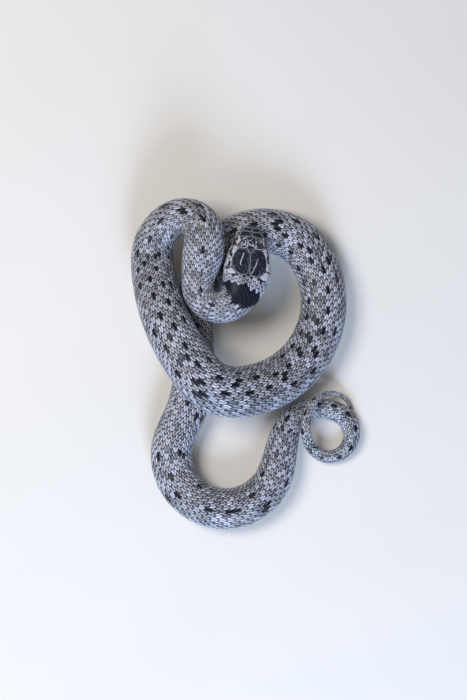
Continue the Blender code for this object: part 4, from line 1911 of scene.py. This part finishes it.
    def _tones(self, flat: Array, rim: Array, shield: Shield) -> dict[str, Array]:
        """Work out what is stored on a plate's points: where they are, and their shares of colour.

        Args:
            flat: The points as places and girths.
            rim: Their distances from the rim.
            shield: The shield that the plate is.

        Returns:
            The numbers of all points, by attribute.
        """
        dark, peach, cream = shield.tone.value
        at, girth = flat[:, 0], flat[:, 1]
        brow = ramp(np.abs(girth), 0.46, 0.51) * (1.0 - ramp(at, 5.0, 5.6)) * (shield.name == "supraocular")
        return {
            "place": at,
            "girth": girth,
            "rim": rim,
            "dark": self.markings.head_dark(at, girth, np.full_like(at, dark)) * (1.0 - brow),
            "peach": np.maximum(peach, brow),
            "cream": np.full_like(at, cream),
        }

    @staticmethod
    def _bake_map(mesh: bpy.types.Mesh, counts: Sequence[int]) -> None:
        """Unwrap the plates, each at its own place: tops in the lower half, undersides in the upper one.

        Args:
            mesh: The mesh of all plates.
            counts: How many points each plate has.
        """
        at, girth = got(mesh, "place"), got(mesh, "girth")
        below = np.concatenate([np.repeat([0.0, 0.5], count // 2) for count in counts])
        girth = np.where(girth < -1.0, girth + 4.0, girth)
        uv = np.stack([(at + 0.5) / 15.5, (girth + 1.05) / 4.2 * 0.49 + below], axis=1)
        put_map(mesh, "OFBake", np.clip(uv, 0.0, 1.0)[corner_points(mesh)])


def unrolled(at: Array) -> Array:
    """Places along the body, those on the snout's blunt front spread out to their true distance."""
    return np.where(at < 0.0, -SNOUT_ARC * np.arcsin(np.clip(-at / SNOUT_CAP, 0.0, 1.0)), at)


def rolled(at: Array) -> Array:
    """The reverse of unrolled."""
    return np.where(at < 0.0, -SNOUT_CAP * np.sin(np.clip(-at / SNOUT_ARC, 0.0, math.pi / 2.0)), at)


# Cosine of the turn under which a corner is curved through
BLUNT_COSINE = 0.82


def rounded(corners: Array, shrink: float, radius: float = 0.16, spacing: float = 0.1) -> Array:
    """A closed outline, curved through its blunt corners, cut round at its sharp ones, drawn in.

    Args:
        corners: Corners of the outline, in mm.
        shrink: How far it is drawn in.
        radius: How much of its sides a sharp corner gives up.
        spacing: From one point to the next.

    Returns:
        Points along it.
    """
    before, following = corners - np.roll(corners, 1, axis=0), np.roll(corners, -1, axis=0) - corners
    size_in = np.linalg.norm(before, axis=1, keepdims=True)
    size_out = np.linalg.norm(following, axis=1, keepdims=True)
    way_in, way_out = before / np.maximum(size_in, 1e-9), following / np.maximum(size_out, 1e-9)
    blunt = np.sum(way_in * way_out, axis=1, keepdims=True) > BLUNT_COSINE
    mean = way_in * size_out + way_out * size_in
    mean /= np.maximum(np.linalg.norm(mean, axis=1, keepdims=True), 1e-9)
    leaving, arriving = np.where(blunt, mean, way_out), np.where(blunt, mean, way_in)
    line: list[Array] = []
    for i, start in enumerate(corners):
        j = (i + 1) % len(corners)
        size = float(size_out[i, 0])
        count = max(2, int(size / 0.05))
        u = (np.arange(count) / count)[:, None]
        swing = (1.0 - u) * (leaving[i] - way_out[i]) - u * (arriving[j] - way_out[i])
        points = start + (corners[j] - start) * u + u * (1.0 - u) * size * swing
        first, last = (0.0 if blunt[k, 0] else min(radius, size * 0.35) for k in (i, j))
        line.append(points[(u[:, 0] * size >= first) & ((1.0 - u[:, 0]) * size >= last)])
    whole = np.concatenate(line)
    for _ in range(2):
        beside = np.roll(whole, -1, axis=0)
        cut = [whole * 0.75 + beside * 0.25, whole * 0.25 + beside * 0.75]
        whole = np.stack(cut, axis=1).reshape(-1, 2)
    run = np.concatenate(([0.0], np.cumsum(np.linalg.norm(np.roll(whole, -1, axis=0) - whole, axis=1))))
    where = np.linspace(0.0, run[-1], max(14, int(run[-1] / spacing)), endpoint=False)
    closed = np.concatenate([whole, whole[:1]])
    return offset_in(np.stack([np.interp(where, run, closed[:, axis]) for axis in (0, 1)], axis=1), shrink)


def offset_in(line: Array, distance: float) -> Array:
    """Move a closed outline inwards.

    Args:
        line: Its points, in order.
        distance: How far they move.

    Returns:
        The moved points.
    """
    tangent = np.roll(line, -1, axis=0) - np.roll(line, 1, axis=0)
    tangent /= np.maximum(np.linalg.norm(tangent, axis=1, keepdims=True), 1e-9)
    following = np.roll(line, -1, axis=0)
    area = float(np.sum(line[:, 0] * following[:, 1] - following[:, 0] * line[:, 1]))
    inward = np.stack([-tangent[:, 1], tangent[:, 0]], axis=1) * math.copysign(1.0, area)
    return line + inward * distance


def inset(line: Array, distance: float) -> Array:
    """Points of an outline moved inwards, without those that come too near it elsewhere."""
    moved = offset_in(line, distance)[::2]
    return moved[distance_inside(moved, line) > distance * 0.85]


def distance_inside(points: Array, line: Array) -> Array:
    """Measure how far inside a closed outline points are.

    Args:
        points: The points.
        line: The outline's corners.

    Returns:
        Distance from each point to the outline, below 0 outside it.
    """
    start, end = line, np.roll(line, -1, axis=0)
    step = end - start
    found = np.full(len(points), 1e9)
    inside = np.zeros(len(points), dtype=bool)
    for a, d, b in zip(start, step, end):
        share = np.clip(((points - a) @ d) / max(float(d @ d), 1e-12), 0.0, 1.0)
        found = np.minimum(found, np.linalg.norm(points - a - share[:, None] * d, axis=1))
        crosses = (a[1] > points[:, 1]) != (b[1] > points[:, 1])
        level = np.where(crosses, points[:, 1] - a[1], 0.0)
        inside ^= crosses & (points[:, 0] < a[0] + level * d[0] / (d[1] if d[1] else 1.0))
    return np.where(inside, found, -found)


@dataclass(frozen=True)
class ShieldFinish:
    """Satin head shields: dark and mottled with thin pale rims, peach lips and a cream chin.

    Attributes:
        name: The material's name.
        dark, mottle, pale: Colours of the dark parts, their flecks and the rims.
        peach, cream: Colours of the lips and of the chin.
        roughness: Of a clean shield.
    """

    name: str = "head_shields"
    dark: Colour = (0.008, 0.011, 0.019)
    mottle: Colour = (0.036, 0.041, 0.052)
    pale: Colour = (0.40, 0.43, 0.53)
    peach: Colour = (0.56, 0.47, 0.46)
    cream: Colour = (0.70, 0.60, 0.52)
    roughness: float = 0.34

    def material(self) -> bpy.types.Material:
        """Build the material.

        Returns:
            The material.
        """
        board = Finish(self.name)
        dark, peach, rim, cream = board.attributes("dark", "peach", "rim", "cream")
        flecks, fine = board.noise(board.place, 1.6, 4.0), board.noise(board.place, 5.0)
        light = board.colour_mix(peach, self.pale, self.peach)
        light = board.colour_mix(cream, light, self.cream)
        light = board.colour_mix(fine.ramp(0.52, 0.75) * 0.5, light, self.mottle)
        deep = board.colour_mix(flecks.ramp(0.48, 0.66), self.dark, self.mottle)
        body = board.colour_mix((dark + (flecks - 0.5) * 0.9).ramp(0.25, 0.60), light, deep)
        edge = (1.0 - rim.ramp(0.05, 0.17)) * (0.15 + flecks * 0.9)
        return board.shaded({
            "Base Color": board.colour_mix(edge.clip(0.0, 0.7), body, light),
            "Roughness": self.roughness + (fine - 0.5) * 0.2,
            "Normal": board.bumps(board.place, 4.0, 0.3, 0.02),
            "Specular IOR Level": 0.17,
        })


@dataclass
class Eye:
    """One eye under its clear spectacle, with a dark iris and a slightly upright pupil.

    Attributes:
        backbone, side: What it follows, and its side.
        size: Its radius as a share of the solid's.
        flatness: How much shallower it is than a ball.
        upright: How much taller the pupil is than wide.
        segments, rings: Its faces round the way it looks, and from front to back.
    """

    backbone: Backbone
    side: Side
    size: float = 0.98
    flatness: float = 0.16
    upright: float = 0.18
    segments: int = 48
    rings: int = 28

    def build(self, material: bpy.types.Material) -> bpy.types.Object:
        """Make the ball with its pole at the middle of the pupil.

        Args:
            material: The eye's finish.

        Returns:
            The piece.
        """
        centre, look = eye_place(self.backbone, self.side)
        level = np.cross((0.0, 0.0, 1.0), look)
        level /= np.linalg.norm(level)
        above = np.cross(look, level)
        tilt = np.linspace(0.0, math.pi, self.rings + 1)
        turn = np.linspace(0.0, 2.0 * math.pi, self.segments, endpoint=False)
        middle = tilt[1:-1]
        around = np.cos(turn)[:, None] * level + np.sin(turn)[:, None] * above
        rows = np.cos(middle)[:, None, None] * look + np.sin(middle)[:, None, None] * around[None]
        ball = np.concatenate([rows.reshape(-1, 3), [look], [-look]]) * (EYE_RADIUS * self.size)
        points = ball - np.outer(ball @ look, look) * self.flatness + centre
        name = f"{self.side.name.lower()}_eye"
        mesh = plain_mesh(name, points, tube_faces(len(middle), self.segments))
        angle = np.append(np.repeat(middle, self.segments), [0.0, math.pi])
        vertical = np.append(np.tile(np.sin(turn) ** 2, len(middle)), [0.0, 0.0])
        put(mesh, "off_axis", np.degrees(angle) / (1.0 + self.upright * vertical))
        return new_piece(name, mesh, material)


@dataclass(frozen=True)
class EyeFinish:
    """A wet dark eye.

    Attributes:
        name: The material's name.
        pupil, iris, iris_outer: Colours of the pupil, and of the iris by the pupil and at its edge.
        pupil_edge, iris_edge: Degrees off the way it looks at which the pupil and the iris end.
        pupil_soft: Half the width of the pupil's edge in degrees.
    """

    name: str = "eye"
    pupil: Colour = (0.004, 0.004, 0.004)
    iris: Colour = (0.034, 0.019, 0.012)
    iris_outer: Colour = (0.010, 0.008, 0.007)
    pupil_edge: float = 21.0
    iris_edge: float = 52.0
    pupil_soft: float = 1.5

    def material(self) -> bpy.types.Material:
        """Build the material.

        Returns:
            The material.
        """
        board = Finish(self.name)
        (off,), veins = board.attributes("off_axis"), board.noise(board.place, 6.0)
        outer = (off + (veins - 0.5) * 16.0).ramp(self.pupil_edge, self.iris_edge)
        iris = board.colour_mix(outer, self.iris, self.iris_outer)
        low, high = self.pupil_edge - self.pupil_soft, self.pupil_edge + self.pupil_soft
        past = (off + (veins - 0.5) * 2.0).ramp(low, high)
        return board.shaded({
            "Base Color": board.colour_mix(past, self.pupil, iris),
            "Roughness": 0.07 + veins * 0.03,
            "Coat Weight": 1.0,
            "Coat Roughness": 0.03,
        })


# ---------------------------------------------------------------- the studio


@dataclass(frozen=True)
class Studio:
    """Camera, floor and soft light.

    Attributes:
        target: The point of the floor that the camera and the lights face.
        distance, elevation: Where the camera stands, in mm from there and degrees over the floor.
        frame_height: Height of what the camera sees at the target.
        sensor: Size of the camera's sensor.
        floor_half: Half the floor's width.
        floor_pale, floor_dark: The floor's two tones.
        sky, sky_strength: Colour and strength of the light from all sides.
    """

    target: tuple[float, float] = (-3.015, 4.256)
    distance: float = 600.0
    elevation: float = 83.0
    frame_height: float = 178.85
    sensor: float = 36.0
    floor_half: float = 1500.0
    floor_dark: Colour = (0.56, 0.55, 0.535)
    floor_pale: Colour = (0.60, 0.59, 0.575)
    sky: Colour = (0.93, 0.95, 1.0)
    sky_strength: float = 0.36

    def build(self) -> None:
        """Set them up."""
        self._camera()
        self._floor()
        self._light("south_light", (60.0, -500.0, 280.0), 220.0, 4.3, (0.60, 0.75, 1.0))
        self._light("west_light", (-260.0, 60.0, 460.0), 240.0, 2.4, (1.0, 0.94, 0.87))
        world = bpy.data.worlds.new("studio")
        world.use_nodes = True
        background = world.node_tree.nodes["Background"]
        background.inputs["Color"].default_value = (*self.sky, 1.0)
        background.inputs["Strength"].default_value = self.sky_strength
        bpy.context.scene.world = world
        bpy.context.scene.view_settings.view_transform = "Standard"

    def _camera(self) -> None:
        """Look down at the coil, a little from the side its snout points away from."""
        data = bpy.data.cameras.new("camera")
        data.sensor_width = self.sensor
        data.lens = self.sensor * self.distance / self.frame_height
        data.clip_start, data.clip_end = 0.01, 10.0
        camera = in_scene("camera", data)
        tilt = math.radians(self.elevation)
        x, y = self.target
        height = self.distance * math.sin(tilt)
        camera.location = Vector((x, y - self.distance * math.cos(tilt), height)) * MM
        camera.rotation_euler = (math.pi / 2.0 - tilt, 0.0, 0.0)
        bpy.context.scene.camera = camera

    def _floor(self) -> None:
        """A wide pale floor."""
        board = Finish("floor")
        colour = board.colour_mix(board.noise(board.place, 0.02), self.floor_dark, self.floor_pale)
        material = board.shaded({"Base Color": colour, "Roughness": 0.8})
        square = np.array([(-1.0, -1.0, 0.0), (1.0, -1.0, 0.0), (1.0, 1.0, 0.0), (-1.0, 1.0, 0.0)])
        corners = square * self.floor_half
        new_piece("floor", plain_mesh("floor", corners, [[0, 1, 2, 3]]), material)

    def _light(
        self, name: str, place: tuple[float, float, float], size: float, power: float, colour: Colour
    ) -> None:
        """Add a large square light that faces the coil.

        Args:
            name: The light's name.
            place: Where it is, in mm.
            size: Its width, in mm.
            power: Its power, in watts.
            colour: Its colour.
        """
        data = bpy.data.lights.new(name, "AREA")
        data.shape = "SQUARE"
        data.size = size * MM
        data.energy = power
        data.color = colour
        light = in_scene(name, data)
        light.location = Vector(place) * MM
        towards = Vector((self.target[0] * MM, self.target[1] * MM, 0.0)) - light.location
        light.rotation_euler = towards.to_track_quat("-Z", "Y").to_euler()


# ---------------------------------------------------------------- the whole


def settle(piece: bpy.types.Object, slot: Slot, *replaced: str) -> None:
    """Let a piece ride on the body, hide the solids it stands for, and log its triangles.

    Args:
        piece: The piece.
        slot: Its slot in the record; not used.
        replaced: Names of the solids' nodes that it stands for.
    """
    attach(piece, "root")
    if replaced:
        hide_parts(*replaced)
    triangles = sum(len(polygon.vertices) - 2 for polygon in piece.data.polygons)
    LOG.info("%s: %d triangles", piece.name, triangles)


BACK_SCALE = ScaleShape()
SCUTE = ScaleShape(root=-0.25, tip=1.22, width=1.1, point=0.0, dome=0.0, along=6, across=22, square=0.75)
BODY_DROPS = ((8.0, 188.0, 197.0),)
PITCH = 1.68


def coats() -> list[Coat]:
    """Describe all pieces of the coat.

    Returns:
        The pieces, from the back to the tail.
    """
    body = {"start": 11.2, "end": TAIL_ROOT, "pitch": PITCH, "outer_row": 11.0, "drops": BODY_DROPS}
    flank = body | {"edge": 13.6, "edge_slant": -0.0185}
    tail = {"start": TAIL_ROOT + 0.4, "end": 351.0, "pitch": 0.90, "ease": -0.62, "ease_reach": 30.0}
    return [
        Coat("scales_back", BACK_SCALE, low_row=-3.0, high_row=3.0, edge=12.7, edge_slant=0.05, **body),
        Coat("scales_flank_left", BACK_SCALE, low_row=-11.0, high_row=-4.0, seed=SEED + 1, **flank),
        Coat("scales_flank_right", BACK_SCALE, low_row=4.0, high_row=11.0, seed=SEED + 2, **flank),
        Coat("scutes_belly", SCUTE, 12.6, TAIL_ROOT, PITCH, outer_row=0.0, low_row=0.0, high_row=0.0,
             centre=0.0, spread=0.315, edge=16.4, slot=Slot.BELLY),
        Coat("scales_throat", BACK_SCALE, 5.0, 17.0, 1.3, outer_row=4.5, low_row=-4.5, high_row=4.5,
             centre=0.0, spread=0.33, edge=7.7, edge_slant=-0.13, slot=Slot.BELLY, ease=0.0),
        Coat("scales_tail", BACK_SCALE, outer_row=6.0, low_row=-6.0, high_row=6.0, spread=0.72,
             drops=((3.0, 300.0, 309.0), (1.0, 322.0, 330.0)), **tail),
        Coat("scutes_tail", BACK_SCALE, outer_row=0.5, low_row=-0.5, high_row=0.5, centre=0.0, spread=0.30,
             slot=Slot.BELLY, **tail),
    ]  # fmt: skip


def main() -> None:
    """Build the snake piece by piece, and report each."""
    logging.basicConfig(level=logging.INFO, format="%(message)s")
    Studio().build()
    backbone = centred_backbone()
    markings = Markings()
    skin = Skin(backbone, markings)
    flesh = [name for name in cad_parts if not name.startswith("eye")]
    settle(skin.build(), Slot.BACK, *sorted(flesh))
    rows = ScaleRows()
    finish = ScaleFinish("scales").material()
    settle(Head(backbone, markings).build(ShieldFinish().material()), Slot.HEAD)
    eye_finish = EyeFinish().material()
    for side in Side:
        settle(Eye(backbone, side).build(eye_finish), Slot.EYE, f"eye_{side.name.lower()}")
    for coat in coats():
        settle(coat.build(skin, rows, finish), coat.slot)


if __name__ == "__main__":
    main()
